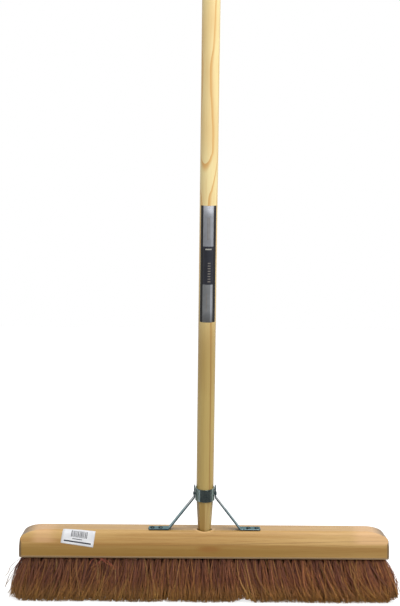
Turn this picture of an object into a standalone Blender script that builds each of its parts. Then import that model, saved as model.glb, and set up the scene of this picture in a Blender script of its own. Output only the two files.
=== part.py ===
"""Coir platform broom.

A domed wooden stock carries five rows of coir tufts. A wooden handle, whittled to eight flats
at its foot, is driven into an angled socket in the stock. A steel stay ties the two together:
a strap clamped round the handle, and an arm on each side that is riveted to the strap and
screwed down on the stock.

Metres, +Z up. The origin is on the floor, at the flat tip of the middle strand, under the
middle of the stock. X runs along the stock, and the handle leans towards -Y.
"""
import math
import random

import bmesh
import bpy
from mathutils import Euler, Matrix, Vector

# Stock
STOCK_LENGTH = 0.610
STOCK_WIDTH = 0.064
STOCK_HEIGHT = 0.0455
SHOULDER_SLANT = math.radians(12)  # how far the shoulder's flat part leans in
SHOULDER_FLAT = 0.0152    # height of that part, along its slope
SHOULDER_ROUND = 0.0090   # radius from there to the flat along the top
LOWER_CHAMFER = 0.003
NOSE_SLANT = math.radians(7)  # how far the lower part of each end leans in
NOSE_FLAT = 0.0153        # height of that part, along its slope
NOSE_RISE = 0.0157        # height of the round from there to the top
NOSE_REACH = 0.042        # and its length
PLAN_REACH = 0.0065       # how far in from each end the sides start to draw in
NOSE_WIDTH = 0.051        # width at the very end
HEEL_REACH = 0.0035       # how far in from each end the underside starts to rise
HEEL_LIFT = 0.004

# Coir
TRIM = 0.072              # free length of the coir below the stock
ROWS = 5
TUFT_PITCH = 0.0132
TUFT_SPREAD = 0.0038      # between the two strands of a tuft, at its root
STRAND_ROOT = 0.0028      # width of a strand where it leaves the stock
STRAND_WIDTH = 0.0042     # and half way down, where it is thickest
STRAND_TIP = 0.0034
SLICE_THICKNESS = 0.0045
RIM = 0.006               # wood left outside the slices along the front and back
END_WALL = 0.002          # least wood left beyond the slices' ends, under the stock
END_SPLAY = 0.0215        # how far the end tufts lean outwards
SIDE_SPLAY = 0.012        # how far the front and back rows lean outwards
SPLAY_ONSET = 5           # how late towards the ends the leaning starts, as a power
BOW = 1.5                 # how a leaning strand curves, where 1 is straight
BELLY = 0.55              # how far down its free length a strand is thickest
LOOSENESS = 0.65          # how much of the free room a strand wanders in
SEED = 24                 # of the strands' wandering

# Handle
HANDLE_DIAMETER = 0.028
HANDLE_LENGTH = 1.370
LEAN = math.radians(10.5)
MOUTH_OFFSET = 0.0125     # the socket's mouth is this far in front of the stock's middle
SOCKET_DEPTH = 0.036
TAPER_TOP = 0.056         # the whittled foot ends this far above the mouth
TAPER_ANGLE = math.radians(3.4)
TOP_DOME = 0.009
MOUTH_FLARE = 0.0020
FLARE_DEPTH = 0.0035

# Stay
BAND_CENTRE = 0.0627      # along the handle, above the mouth
BAND_HEIGHT = 0.0212
BAND_THICKNESS = 0.0015
LUG_GAP = 0.005
LUG_BEND = math.radians(10)  # how early the strap leaves the handle for its lugs
LUG_MARGIN = 0.0010       # lug left beyond the washer
STRIP_WIDTH = 0.023
STRIP_THICKNESS = 0.002
TAB_START = 0.056         # height of the upper bend above the stock
TAB_HEIGHT = 0.0195
FOOT_BEND = 0.0587        # lower bend, from the middle of the stock
FOOT_LENGTH = 0.0337
BEND_RADIUS = 0.0035
FOOT_CORNER = 0.003
TAB_CORNER = 0.006

# Fasteners
BOLT_DIAMETER = 0.005
BOLT_HEAD_FLATS = 0.008
BOLT_HEAD_HEIGHT = 0.0035
NUT_HEIGHT = 0.004
WASHER_DIAMETER = 0.010
WASHER_THICKNESS = 0.001
BOLT_END = 0.0015         # how far the bolt shows beyond its nut
BOLT_ROOM = 0.0037        # from the strap's back to the washer's edge
RIVET_DIAMETER = 0.004
RIVET_HEAD = 0.007
RIVET_DOME = 0.0012
RIVET_SINK = 0.001        # depth of the flush inner head
SCREW_DIAMETER = 0.0035
SCREW_HEAD = 0.0075
SCREW_DOME = 0.002
SCREW_LENGTH = 0.018
SCREW_EDGE = 0.0062       # outer screw to the end of the foot
SCREW_PITCH = 0.0135
CROSS_WIDTH = 0.0009
CROSS_SPAN = 0.0042
CROSS_DEPTH = 0.0010

CLEARANCE = 0.0003        # between pieces that touch
WELD = 0.0001
EXTRA = 0.002             # how far a cutter reaches past what it cuts
SHARP = math.radians(30)  # an edge that turns by more is shaded sharp

# Facets and steps
POLE_FACETS = 64
FASTENER_FACETS = 16
WHITTLED_FLATS = 8
STRAND_SIDES = 3
END_STEPS = 14            # down the round of each end of the stock
CURVE_STEPS = 4           # round the heel, and round each corner seen from above
SHOULDER_STEPS = 12
DOME_STEPS = 8
HEAD_STEPS = 4            # up the dome of a screw or rivet head
BEND_STEPS = 5
CORNER_STEPS = 4

STOCK_TOP = TRIM + STOCK_HEIGHT
SHOULDER_DROP = (SHOULDER_FLAT * math.cos(SHOULDER_SLANT)
                 + SHOULDER_ROUND * (1 - math.sin(SHOULDER_SLANT)))
HANDLE_RADIUS = HANDLE_DIAMETER / 2
BAND_INNER = HANDLE_RADIUS + CLEARANCE
TAB_X = BAND_INNER + BAND_THICKNESS + CLEARANCE + STRIP_THICKNESS / 2
FOOT_X = FOOT_BEND + FOOT_LENGTH
FOOT_Z = STOCK_TOP + CLEARANCE + STRIP_THICKNESS / 2
RECESS_WIDTH = STOCK_WIDTH - 2 * RIM
RECESS_LENGTH = STOCK_LENGTH - 2 * (HEEL_REACH + END_WALL)
ROW_PITCH = RECESS_WIDTH / ROWS

SIDES = (("left", -1), ("right", 1))
chance = random.Random(SEED)

for old in list(bpy.data.objects):
    bpy.data.objects.remove(old, do_unlink=True)

broom = bpy.data.collections.new("coir_broom")
cutters = bpy.data.collections.new("cutters")
bpy.context.scene.collection.children.link(broom)
bpy.context.scene.collection.children.link(cutters)


def material(name, colour, roughness, metallic=0.0):
    finish = bpy.data.materials.new(name)
    finish.use_nodes = True
    shader = finish.node_tree.nodes["Principled BSDF"]
    shader.inputs["Base Color"].default_value = (*colour, 1.0)
    shader.inputs["Roughness"].default_value = roughness
    shader.inputs["Metallic"].default_value = metallic
    finish.diffuse_color = (*colour, 1.0)
    return finish


STOCK_WOOD = material("lacquered_stock_wood", (0.62, 0.40, 0.19), 0.35)
HANDLE_WOOD = material("waxed_handle_wood", (0.78, 0.60, 0.32), 0.45)
ZINC = material("zinc_plated_steel", (0.33, 0.38, 0.40), 0.32, 1.0)
COIR = material("coir_fibre", (0.16, 0.065, 0.028), 0.85)


def add(name, shape, finish, parent=None):
    """Puts a bmesh in the broom's collection as a named object with its own material."""
    mesh = bpy.data.meshes.new(name)
    shape.to_mesh(mesh)
    shape.free()
    mesh.materials.append(finish)
    piece = bpy.data.objects.new(name, mesh)
    piece.parent = parent
    broom.objects.link(piece)
    return piece


def add_cutter(name, shape, parent=None):
    """A cutter is drawn as wires and isn't part of the broom."""
    mesh = bpy.data.meshes.new(name)
    shape.to_mesh(mesh)
    shape.free()
    tool = bpy.data.objects.new(name, mesh)
    tool.parent = parent
    tool.hide_render = True
    tool.display_type = "WIRE"
    cutters.objects.link(tool)
    return tool


def boolean(piece, tool, operation="DIFFERENCE"):
    step = piece.modifiers.new(tool.name, "BOOLEAN")
    step.solver = "EXACT"
    step.operation = operation
    step.object = tool


def cone(bottom, top, z_bottom, z_top, sides):
    """A closed cone or cylinder along Z, with a corner towards -Y."""
    shape = bmesh.new()
    made = bmesh.ops.create_cone(
        shape, cap_ends=True, segments=sides, radius1=bottom, radius2=top,
        depth=z_top - z_bottom,
    )
    middle = Matrix.Translation((0, 0, (z_top + z_bottom) / 2))
    bmesh.ops.transform(shape, matrix=middle, verts=made["verts"])
    return shape


def cylinder(radius, z_bottom, z_top, sides=FASTENER_FACETS):
    return cone(radius, radius, z_bottom, z_top, sides)


def box(size, centre):
    shape = bmesh.new()
    made = bmesh.ops.create_cube(shape, size=1.0)
    bmesh.ops.scale(shape, vec=size, verts=made["verts"])
    bmesh.ops.translate(shape, vec=centre, verts=made["verts"])
    return shape


def profile(points):
    """An open line through (radius, z) points, which run down the outer side from the top."""
    shape = bmesh.new()
    line = [shape.verts.new((radius, 0, z)) for radius, z in points]
    for pair in zip(line, line[1:]):
        shape.edges.new(pair)
    return shape


def turn(piece, facets):
    """Turns the piece's profile once round its Z axis."""
    lathe = piece.modifiers.new("turning", "SCREW")
    lathe.steps = facets
    lathe.render_steps = facets
    lathe.use_merge_vertices = True
    lathe.merge_threshold = WELD
    return piece


def dome(radius, base, height, steps):
    """Points from the top of a dome down to its rim."""
    return [(radius * math.sin(angle), base + height * math.cos(angle)) for angle in arc(steps)]


def arc(steps):
    """Angles from 0 to a quarter turn."""
    return [math.radians(90) * i / steps for i in range(steps + 1)]


def lofted(sections):
    """Joins rings of points that run the same way, and closes both ends."""
    shape = bmesh.new()
    rings = [[shape.verts.new(point) for point in section] for section in sections]
    for ring, following in zip(rings, rings[1:]):
        for i in range(len(ring)):
            j = (i + 1) % len(ring)
            shape.faces.new((ring[i], ring[j], following[j], following[i]))
    shape.faces.new(rings[0])
    shape.faces.new(rings[-1])
    bmesh.ops.recalc_face_normals(shape, faces=shape.faces)
    return shape


def shade_round(piece):
    """Applies the piece's modifiers, then shades it smooth with its sharp edges kept."""
    evaluated = piece.evaluated_get(bpy.context.evaluated_depsgraph_get())
    mesh = bpy.data.meshes.new_from_object(evaluated)
    piece.modifiers.clear()
    piece.data = mesh
    mesh.shade_smooth()
    mesh.set_sharp_from_angle(angle=SHARP)


# The handle's axis: an empty at the socket's mouth, leaning with the handle
axis = bpy.data.objects.new("handle_axis", None)
axis.location = (0, -MOUTH_OFFSET, STOCK_TOP)
axis.rotation_euler = Euler((LEAN, 0, 0))
broom.objects.link(axis)


def lay_across(piece, side, y=0.0):
    """Turns a piece made along Z to point out sideways from the handle, at the strap."""
    piece.parent = axis
    piece.location = (0, y, BAND_CENTRE)
    piece.rotation_euler = Euler((0, side * math.radians(90), 0))
    return piece


def shoulder():
    """(in from the side, up from the shoulder's foot) of points up the shoulder."""
    foot_in = SHOULDER_FLAT * math.sin(SHOULDER_SLANT)
    foot_up = SHOULDER_FLAT * math.cos(SHOULDER_SLANT)
    centre_in = foot_in + SHOULDER_ROUND * math.cos(SHOULDER_SLANT)
    centre_up = foot_up - SHOULDER_ROUND * math.sin(SHOULDER_SLANT)
    points = [(0.0, 0.0)]
    for i in range(SHOULDER_STEPS + 1):
        angle = SHOULDER_SLANT + (math.radians(90) - SHOULDER_SLANT) * i / SHOULDER_STEPS
        points.append((centre_in - SHOULDER_ROUND * math.cos(angle),
                       centre_up + SHOULDER_ROUND * math.sin(angle)))
    return points


def stock_profile():
    """The moulded cross-section, as (y, z) points round it."""
    half = STOCK_WIDTH / 2
    side = [(half - LOWER_CHAMFER, TRIM), (half, TRIM + LOWER_CHAMFER)]
    side += [(half - inwards, STOCK_TOP - SHOULDER_DROP + up) for inwards, up in shoulder()]
    return side + [(-y, z) for y, z in reversed(side)]


def end_profile():
    """The stock seen from the front, as (x, z) points: its ends rounded, its heels raised."""
    half = STOCK_LENGTH / 2
    start = math.atan(math.tan(NOSE_SLANT) * NOSE_RISE / NOSE_REACH)  # the slant runs into it
    start_x = half - NOSE_FLAT * math.sin(NOSE_SLANT)
    round_down = []
    for i in range(END_STEPS + 1):
        angle = math.radians(90) + (start - math.radians(90)) * i / END_STEPS
        round_down.append((start_x - NOSE_REACH * (math.cos(start) - math.cos(angle)),
                           STOCK_TOP - NOSE_RISE * (1 - math.sin(angle))))
    side = [(round_down[0][0], STOCK_TOP + EXTRA)] + round_down
    side.append((half, round_down[-1][1] - NOSE_FLAT * math.cos(NOSE_SLANT)))
    for angle in arc(CURVE_STEPS):
        side.append((half - HEEL_REACH * (1 - math.cos(angle)),
                     TRIM + HEEL_LIFT * (1 - math.sin(angle))))
    side.append((side[-1][0], TRIM - EXTRA))
    return side + [(-x, z) for x, z in reversed(side)]


def plan_profile():
    """The stock seen from above, as (x, y) points: its corners are drawn in."""
    half = STOCK_LENGTH / 2
    side = STOCK_WIDTH / 2
    drawn = (STOCK_WIDTH - NOSE_WIDTH) / 2
    corner = [(half + EXTRA, side - drawn)]
    for angle in arc(CURVE_STEPS):
        corner.append((half - PLAN_REACH * (1 - math.cos(angle)),
                       side - drawn * (1 - math.sin(angle))))
    corner.append((half - PLAN_REACH, side + EXTRA))
    back = corner + [(-x, y) for x, y in reversed(corner)]
    return back + [(x, -y) for x, y in reversed(back)]


def taper_radius(z):
    """The corner radius of the whittled foot at height z along the handle."""
    return HANDLE_RADIUS - math.tan(TAPER_ANGLE) * (TAPER_TOP - z)


def strip_middle(z):
    """Where the middle of a stay arm lies in Y at height z: on the leaning handle's axis."""
    return -MOUTH_OFFSET - math.tan(LEAN) * (z - STOCK_TOP)


def screw_places():
    outer = FOOT_X - SCREW_EDGE
    inner = outer - SCREW_PITCH
    return [("left_outer", -outer), ("left_inner", -inner),
            ("right_inner", inner), ("right_outer", outer)]


def make_stock():
    """A moulding cut to length, its ends rounded over and its corners drawn in."""
    far = STOCK_LENGTH / 2 + EXTRA
    moulding = lofted([[(x, y, z) for y, z in stock_profile()] for x in (-far, far)])
    stock = add("stock", moulding, STOCK_WOOD)
    far = STOCK_WIDTH / 2 + EXTRA
    rounding = lofted([[(x, y, z) for x, z in end_profile()] for y in (-far, far)])
    boolean(stock, add_cutter("end_rounding", rounding), "INTERSECT")
    levels = (TRIM - 2 * EXTRA, STOCK_TOP + 2 * EXTRA)
    corners = lofted([[(x, y, z) for x, y in plan_profile()] for z in levels])
    boolean(stock, add_cutter("corner_rounding", corners), "INTERSECT")

    recess_top = TRIM + SLICE_THICKNESS + CLEARANCE
    recess_bottom = TRIM - EXTRA
    recess = box((RECESS_LENGTH, RECESS_WIDTH, recess_top - recess_bottom),
                 (0, 0, (recess_top + recess_bottom) / 2))
    boolean(stock, add_cutter("coir_recess", recess))

    # The socket and its lead-in go on above the mouth until they clear the stock's top
    clear = HANDLE_DIAMETER
    bottom = -SOCKET_DEPTH - CLEARANCE
    socket = cone(taper_radius(bottom) + CLEARANCE, taper_radius(clear) + CLEARANCE,
                  bottom, clear, POLE_FACETS)
    boolean(stock, add_cutter("socket", socket, axis))
    start = -FLARE_DEPTH
    slope = (MOUTH_FLARE + CLEARANCE) / FLARE_DEPTH
    lead_in = cone(taper_radius(start), taper_radius(start) + slope * (clear - start),
                   start, clear, POLE_FACETS)
    boolean(stock, add_cutter("socket_lead_in", lead_in, axis))

    hole = SCREW_DIAMETER / 2 + CLEARANCE
    for name, x in screw_places():
        pilot = cylinder(hole, STOCK_TOP - SCREW_LENGTH, STOCK_TOP + EXTRA)
        tool = add_cutter("pilot_" + name, pilot)
        tool.location = (x, strip_middle(FOOT_Z), 0)
        boolean(stock, tool)
    shade_round(stock)


def make_handle():
    """A turned pole with a domed top, whittled at the foot by an eight-sided cone."""
    foot = -SOCKET_DEPTH
    top = HANDLE_LENGTH - SOCKET_DEPTH
    outline = dome(HANDLE_RADIUS, top - TOP_DOME, TOP_DOME, DOME_STEPS)
    outline += [(HANDLE_RADIUS, foot), (0, foot)]
    handle = turn(add("handle", profile(outline), HANDLE_WOOD, axis), POLE_FACETS)
    whittling = cone(taper_radius(foot), taper_radius(HANDLE_LENGTH), foot, HANDLE_LENGTH,
                     WHITTLED_FLATS)
    boolean(handle, add_cutter("whittling", whittling, axis), "INTERSECT")
    shade_round(handle)


def rounded_path(corners, radius):
    """A line through the corners, with each inner corner rounded to the radius."""
    points = [Vector(corners[0])]
    for before, corner, after in zip(corners, corners[1:], corners[2:]):
        corner = Vector(corner)
        into = (corner - Vector(before)).normalized()
        away = (Vector(after) - corner).normalized()
        turning = into.angle(away)
        start = corner - into * radius * math.tan(turning / 2)
        to_centre = (away - into * into.dot(away)).normalized()
        centre = start + to_centre * radius
        for i in range(BEND_STEPS + 1):
            angle = turning * i / BEND_STEPS
            points.append(centre - to_centre * radius * math.cos(angle)
                          + into * radius * math.sin(angle))
    points.append(Vector(corners[-1]))
    return points


def corner_stations(radius):
    """(distance from the end, how much narrower each edge is) round a rounded corner."""
    return [(radius * (1 - math.cos(angle)), radius * (1 - math.sin(angle)))
            for angle in arc(CORNER_STEPS)]


def make_arm(side_name, side):
    """A steel strip: foot on the stock, diagonal, and tab beside the strap."""
    tab_bottom = STOCK_TOP + TAB_START
    tab_top = tab_bottom + TAB_HEIGHT
    corners = [(FOOT_X, FOOT_Z), (FOOT_BEND, FOOT_Z), (TAB_X, tab_bottom), (TAB_X, tab_top)]
    bends = rounded_path(corners, BEND_RADIUS)[1:-1]
    rows = [(Vector((FOOT_X - along, FOOT_Z)), narrower)
            for along, narrower in corner_stations(FOOT_CORNER)]
    rows += [(point, 0.0) for point in bends]
    rows += [(Vector((TAB_X, tab_top - along)), narrower)
             for along, narrower in reversed(corner_stations(TAB_CORNER))]

    shape = bmesh.new()
    edges = []
    for point, narrower in rows:
        half = STRIP_WIDTH / 2 - narrower
        middle = strip_middle(point.y)
        edges.append([shape.verts.new((side * point.x, middle + y, point.y))
                      for y in (-half, half)])
    for near, far in zip(edges, edges[1:]):
        shape.faces.new((near[0], near[1], far[1], far[0]))
    bmesh.ops.recalc_face_normals(shape, faces=shape.faces)
    arm = add("stay_arm_" + side_name, shape, ZINC)
    plate = arm.modifiers.new("plate", "SOLIDIFY")
    plate.thickness = STRIP_THICKNESS
    plate.offset = 0.0
    plate.use_even_offset = True

    hole = SCREW_DIAMETER / 2 + CLEARANCE
    for name, x in screw_places():
        if x * side > 0:
            drill = cylinder(hole, FOOT_Z - EXTRA, FOOT_Z + EXTRA)
            tool = add_cutter("foot_hole_" + name, drill)
            tool.location = (x, strip_middle(FOOT_Z), 0)
            boolean(arm, tool)
    drill = cylinder(RIVET_DIAMETER / 2 + CLEARANCE, BAND_INNER + BAND_THICKNESS,
                     TAB_X + EXTRA)
    boolean(arm, lay_across(add_cutter("tab_hole_" + side_name, drill), side))
    shade_round(arm)


def bolt_y():
    """The clamp bolt's distance behind the handle's axis."""
    return BAND_INNER + BAND_THICKNESS + BOLT_ROOM + WASHER_DIAMETER / 2


def rivet_hole():
    """The strap's hole, sunk on its inner side for the rivet's flush head."""
    shank = RIVET_DIAMETER / 2 + CLEARANCE
    sunk = shank + RIVET_SINK
    return [(0, TAB_X), (shank, TAB_X), (shank, BAND_INNER + RIVET_SINK), (sunk, BAND_INNER),
            (sunk, BAND_INNER - EXTRA), (0, BAND_INNER - EXTRA)]


def make_band():
    """The strap: half of it in plan, mirrored, thickened and cut for its bolt and rivets."""
    middle = BAND_INNER + BAND_THICKNESS / 2
    lug_x = (LUG_GAP + BAND_THICKNESS) / 2
    sweep = math.pi - math.asin(lug_x / middle) - LUG_BEND
    count = round(sweep / math.tau * POLE_FACETS)
    path = [(middle * math.sin(angle), -middle * math.cos(angle))
            for angle in [sweep * i / count for i in range(count + 1)]]
    lug_end = bolt_y() + WASHER_DIAMETER / 2 + LUG_MARGIN
    path += [(lug_x, middle + BAND_THICKNESS), (lug_x, lug_end)]

    shape = bmesh.new()
    low = BAND_CENTRE - BAND_HEIGHT / 2
    high = BAND_CENTRE + BAND_HEIGHT / 2
    edges = [[shape.verts.new((x, y, z)) for z in (low, high)] for x, y in path]
    for near, far in zip(edges, edges[1:]):
        shape.faces.new((near[0], far[0], far[1], near[1]))
    band = add("stay_band", shape, ZINC, axis)
    mirror = band.modifiers.new("other_half", "MIRROR")
    mirror.merge_threshold = WELD
    strap = band.modifiers.new("strap", "SOLIDIFY")
    strap.thickness = BAND_THICKNESS
    strap.offset = 0.0
    strap.use_even_offset = True

    reach = LUG_GAP / 2 + BAND_THICKNESS + EXTRA
    drill = cylinder(BOLT_DIAMETER / 2 + CLEARANCE, -reach, reach)
    boolean(band, lay_across(add_cutter("lug_holes", drill), 1, bolt_y()))
    for side_name, side in SIDES:
        tool = turn(add_cutter("band_hole_" + side_name, profile(rivet_hole())),
                    FASTENER_FACETS)
        boolean(band, lay_across(tool, side))
    shade_round(band)


def make_rivet(side_name, side):
    shank = RIVET_DIAMETER / 2
    seat = TAB_X + STRIP_THICKNESS / 2 + CLEARANCE
    outline = dome(RIVET_HEAD / 2, seat, RIVET_DOME, HEAD_STEPS)
    outline += [(shank, seat), (shank, BAND_INNER + RIVET_SINK),
                (shank + RIVET_SINK, BAND_INNER), (0, BAND_INNER)]
    rivet = turn(add("tab_rivet_" + side_name, profile(outline), ZINC), FASTENER_FACETS)
    lay_across(rivet, side)
    shade_round(rivet)


def hexagon(low, high):
    """The bolt's head and its nut have the same flats."""
    corner = BOLT_HEAD_FLATS / 2 / math.cos(math.radians(30))
    return cone(corner, corner, low, high, 6)


def make_clamp():
    """Bolt, washer and nut across the strap's two lugs."""
    seat = LUG_GAP / 2 + BAND_THICKNESS + CLEARANCE
    nut_seat = seat + WASHER_THICKNESS + CLEARANCE
    end = nut_seat + NUT_HEIGHT + BOLT_END
    head = hexagon(-seat - BOLT_HEAD_HEIGHT, -seat)
    bolt = lay_across(add("clamp_bolt", head, ZINC), 1, bolt_y())
    rod = cylinder(BOLT_DIAMETER / 2, -seat - BOLT_HEAD_HEIGHT / 2, end)
    boolean(bolt, lay_across(add_cutter("bolt_shank", rod), 1, bolt_y()), "UNION")
    shade_round(bolt)

    bore = cylinder(BOLT_DIAMETER / 2 + CLEARANCE, seat - EXTRA, end + EXTRA)
    drill = lay_across(add_cutter("bolt_bore", bore), 1, bolt_y())
    disc = cylinder(WASHER_DIAMETER / 2, seat, seat + WASHER_THICKNESS)
    for name, shape in (("clamp_washer", disc),
                        ("clamp_nut", hexagon(nut_seat, nut_seat + NUT_HEIGHT))):
        piece = lay_across(add(name, shape, ZINC), 1, bolt_y())
        boolean(piece, drill)
        shade_round(piece)


def make_foot_screws():
    """Round-head wood screws with a cross recess, through the feet into the stock."""
    seat = FOOT_Z + STRIP_THICKNESS / 2 + CLEARANCE
    shank = SCREW_DIAMETER / 2
    point = seat - SCREW_LENGTH
    outline = dome(SCREW_HEAD / 2, seat, SCREW_DOME, HEAD_STEPS)
    outline += [(shank, seat), (shank, point + SCREW_DIAMETER), (0, point)]
    recess_bottom = seat + SCREW_DOME - CROSS_DEPTH
    recess_height = CROSS_DEPTH + EXTRA
    for name, x in screw_places():
        screw = turn(add("foot_screw_" + name, profile(outline), ZINC), FASTENER_FACETS)
        screw.location = (x, strip_middle(FOOT_Z), 0)
        for way, size in (("along", (CROSS_SPAN, CROSS_WIDTH)),
                          ("across", (CROSS_WIDTH, CROSS_SPAN))):
            slot = box((*size, recess_height), (0, 0, recess_bottom + recess_height / 2))
            tool = add_cutter(f"cross_{way}_{name}", slot)
            tool.location = screw.location
            boolean(screw, tool)
        shade_round(screw)


def strand_rings(root_x, spread_x, row_y):
    """Three rings of a strand: inside the slice, at its thickest, and at its flat tip."""
    splay = abs(spread_x) / (RECESS_LENGTH / 2)
    out_x = math.copysign(END_SPLAY * splay ** SPLAY_ONSET, spread_x)
    out_y = SIDE_SPLAY * row_y / (RECESS_WIDTH / 2)
    room_x = LOOSENESS * (TUFT_PITCH / 2 - STRAND_WIDTH) / 2
    room_y = LOOSENESS * (ROW_PITCH - STRAND_WIDTH) / 2
    if abs(spread_x) < WELD and abs(row_y) < WELD:
        room_x = room_y = 0.0   # the middle strand ends at the origin
    turned_by = chance.uniform(-math.pi, math.pi)
    rings = []
    for height, along, width in ((TRIM + SLICE_THICKNESS / 2, 0.0, STRAND_ROOT),
                                 (TRIM * (1 - BELLY), BELLY, STRAND_WIDTH),
                                 (0.0, 1.0, STRAND_TIP)):
        x = root_x + (spread_x - root_x) * along + out_x * along ** BOW
        y = row_y + out_y * along
        x += room_x * along * chance.uniform(-1, 1)
        y += room_y * along * chance.uniform(-1, 1)
        corners = [turned_by + math.tau * k / STRAND_SIDES for k in range(STRAND_SIDES)]
        rings.append([(x + width / 2 * math.cos(angle), y + width / 2 * math.sin(angle), height)
                      for angle in corners])
    return rings


def row_strands(row):
    """(root x, spread-out x) of each strand in a row: two to a tuft, rows staggered."""
    quarter = TUFT_PITCH / 4
    stagger = quarter if (row - ROWS // 2) % 2 == 0 else -quarter
    outer_reach = quarter + (TUFT_SPREAD + STRAND_ROOT) / 2 + CLEARANCE
    count = int((RECESS_LENGTH / 2 - outer_reach) / TUFT_PITCH)
    places = []
    for tuft in range(-count, count + 1):
        middle = tuft * TUFT_PITCH + stagger
        for side in (-1, 1):
            places.append((middle + side * TUFT_SPREAD / 2, middle + side * quarter))
    return places


def make_coir_row(row):
    """A slice of the stock's underside with its strands joined on. Returns the strands."""
    row_y = (row - (ROWS - 1) / 2) * ROW_PITCH
    size = (RECESS_LENGTH - 2 * CLEARANCE, ROW_PITCH - CLEARANCE, SLICE_THICKNESS)
    name = f"coir_row_{row + 1}"
    piece = add(name, box(size, (0, row_y, TRIM + SLICE_THICKNESS / 2)), COIR)
    row_rings = [strand_rings(root_x, spread_x, row_y)
                 for root_x, spread_x in row_strands(row)]
    strands = bmesh.new()
    for rings in row_rings:
        levels = [[strands.verts.new(point) for point in ring] for ring in rings]
        for upper, lower in zip(levels, levels[1:]):
            for i in range(STRAND_SIDES):
                j = (i + 1) % STRAND_SIDES
                strands.faces.new((upper[i], upper[j], lower[j], lower[i]))
        strands.faces.new(levels[0])
        strands.faces.new(levels[-1])
    bmesh.ops.recalc_face_normals(strands, faces=strands.faces)
    boolean(piece, add_cutter("strands_" + name, strands), "UNION")
    return row_rings


def least_gap(strands):
    """The least room between two strands, taking each cross-section as the circle round it."""
    least = math.inf
    for level, width in enumerate((STRAND_ROOT, STRAND_WIDTH, STRAND_TIP)):
        middles = [sum((Vector(point) for point in rings[level]), Vector()) / STRAND_SIDES
                   for rings in strands]
        middles.sort(key=lambda middle: middle.x)
        for i, middle in enumerate(middles):
            for other in middles[i + 1:]:
                if other.x - middle.x > TUFT_PITCH:
                    break
                least = min(least, (other - middle).length - width)
    return least


make_stock()
make_handle()
make_band()
for side_name, side in SIDES:
    make_arm(side_name, side)
    make_rivet(side_name, side)
make_clamp()
make_foot_screws()
coir = [rings for row in range(ROWS) for rings in make_coir_row(row)]
print(f"{len(coir)} strands of coir, {least_gap(coir) * 1000:.2f} mm apart or more")
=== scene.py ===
# %% [markdown]
# # A coir platform broom
#
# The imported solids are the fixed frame: a domed wooden stock, a long handle driven into it, a
# steel stay that ties the two together, and five rows of coir. This lesson dresses them. Rigid
# pieces are copied and given softened edges and a real finish, and the coir is planted anew,
# fibre by fibre. Everything is in metres, +Z up, and the coir's tips stand on the floor at z = 0.

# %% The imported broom
import math

import bmesh
import bpy
import numpy as np
from mathutils import Matrix, Vector


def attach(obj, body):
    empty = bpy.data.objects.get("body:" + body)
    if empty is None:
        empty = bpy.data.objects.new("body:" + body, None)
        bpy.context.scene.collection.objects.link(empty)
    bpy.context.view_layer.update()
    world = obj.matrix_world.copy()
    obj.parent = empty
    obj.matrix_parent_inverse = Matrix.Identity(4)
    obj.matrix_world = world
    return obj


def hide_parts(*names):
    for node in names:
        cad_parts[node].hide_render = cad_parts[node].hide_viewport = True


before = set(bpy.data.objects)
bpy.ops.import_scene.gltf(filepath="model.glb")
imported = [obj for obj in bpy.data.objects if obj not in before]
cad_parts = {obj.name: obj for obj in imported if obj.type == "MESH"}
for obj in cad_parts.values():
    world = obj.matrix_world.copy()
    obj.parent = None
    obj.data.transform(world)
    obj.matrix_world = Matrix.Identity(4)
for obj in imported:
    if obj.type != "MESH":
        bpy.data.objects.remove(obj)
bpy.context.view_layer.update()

# %% [markdown]
# ## Sizes that several pieces share
#
# The handle leans towards the camera. Its own frame stands at the socket's mouth, with Z along
# the handle, and anything that sits on the handle is placed in that frame.

# %% Shared sizes
TRIM = 0.072                     # free length of the coir
STOCK_TOP = 0.1175
STOCK_WIDTH = 0.064
HANDLE_RADIUS = 0.014
LEAN = math.radians(10.5)
MOUTH = (0, -0.0125, STOCK_TOP)   # the socket's mouth

handle_frame = Matrix.Translation(MOUTH) @ Matrix.Rotation(LEAN, 4, "X")

# %% [markdown]
# ## Colours and nodes
#
# Colours are picked as sRGB hex, the way a paint chart gives them, but a shader works in linear
# light, so one function turns one into the other. A second adds a node: its settings, its
# inputs as plain values or links, and the output that the next node reads. Two settings come
# back all the time, so they have names: a range that eases in and out, and a mix of colours.

# %% Small helpers for finishes
EASED = {"interpolation_type": "SMOOTHSTEP"}
COLOURS = {"data_type": "RGBA"}


def linear(chart_colour):
    """An sRGB hex colour as the linear RGBA that a shader needs."""
    channels = [int(chart_colour[i:i + 2], 16) / 255 for i in (0, 2, 4)]
    return [c / 12.92 if c <= 0.04045 else ((c + 0.055) / 1.055) ** 2.4 for c in channels] + [1]


def add_node(finish, kind, inputs, output=None, **settings):
    """Adds a node and returns its named output, or else the first that is in use."""
    node = finish.node_tree.nodes.new("ShaderNode" + kind)
    for name, value in settings.items():
        setattr(node, name, value)
    usable = [socket for socket in node.inputs if socket.enabled]
    for name, value in inputs.items():
        socket = usable[name] if isinstance(name, int) else next(
            s for s in usable if s.name == name)
        if isinstance(value, bpy.types.NodeSocket):
            finish.node_tree.links.new(value, socket)
        else:
            socket.default_value = value
    return node.outputs[output] if output else next(s for s in node.outputs if s.enabled)


def new_finish(name, **constants):
    """A material whose shader has these constant values, ready for its nodes."""
    finish = bpy.data.materials.new(name)
    finish.use_nodes = True
    shader = finish.node_tree.nodes["Principled BSDF"]
    for socket, value in constants.items():
        shader.inputs[socket.replace("_", " ")].default_value = value
    return finish


def connect(finish, **links):
    """Links the finished colour, roughness or bump to the material's shader."""
    shader = finish.node_tree.nodes["Principled BSDF"]
    for socket, value in links.items():
        finish.node_tree.links.new(value, shader.inputs[socket.replace("_", " ")])


print("tan on the chart", "C8A06E", "is", [round(c, 3) for c in linear("C8A06E")[:3]], "linear")

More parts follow.
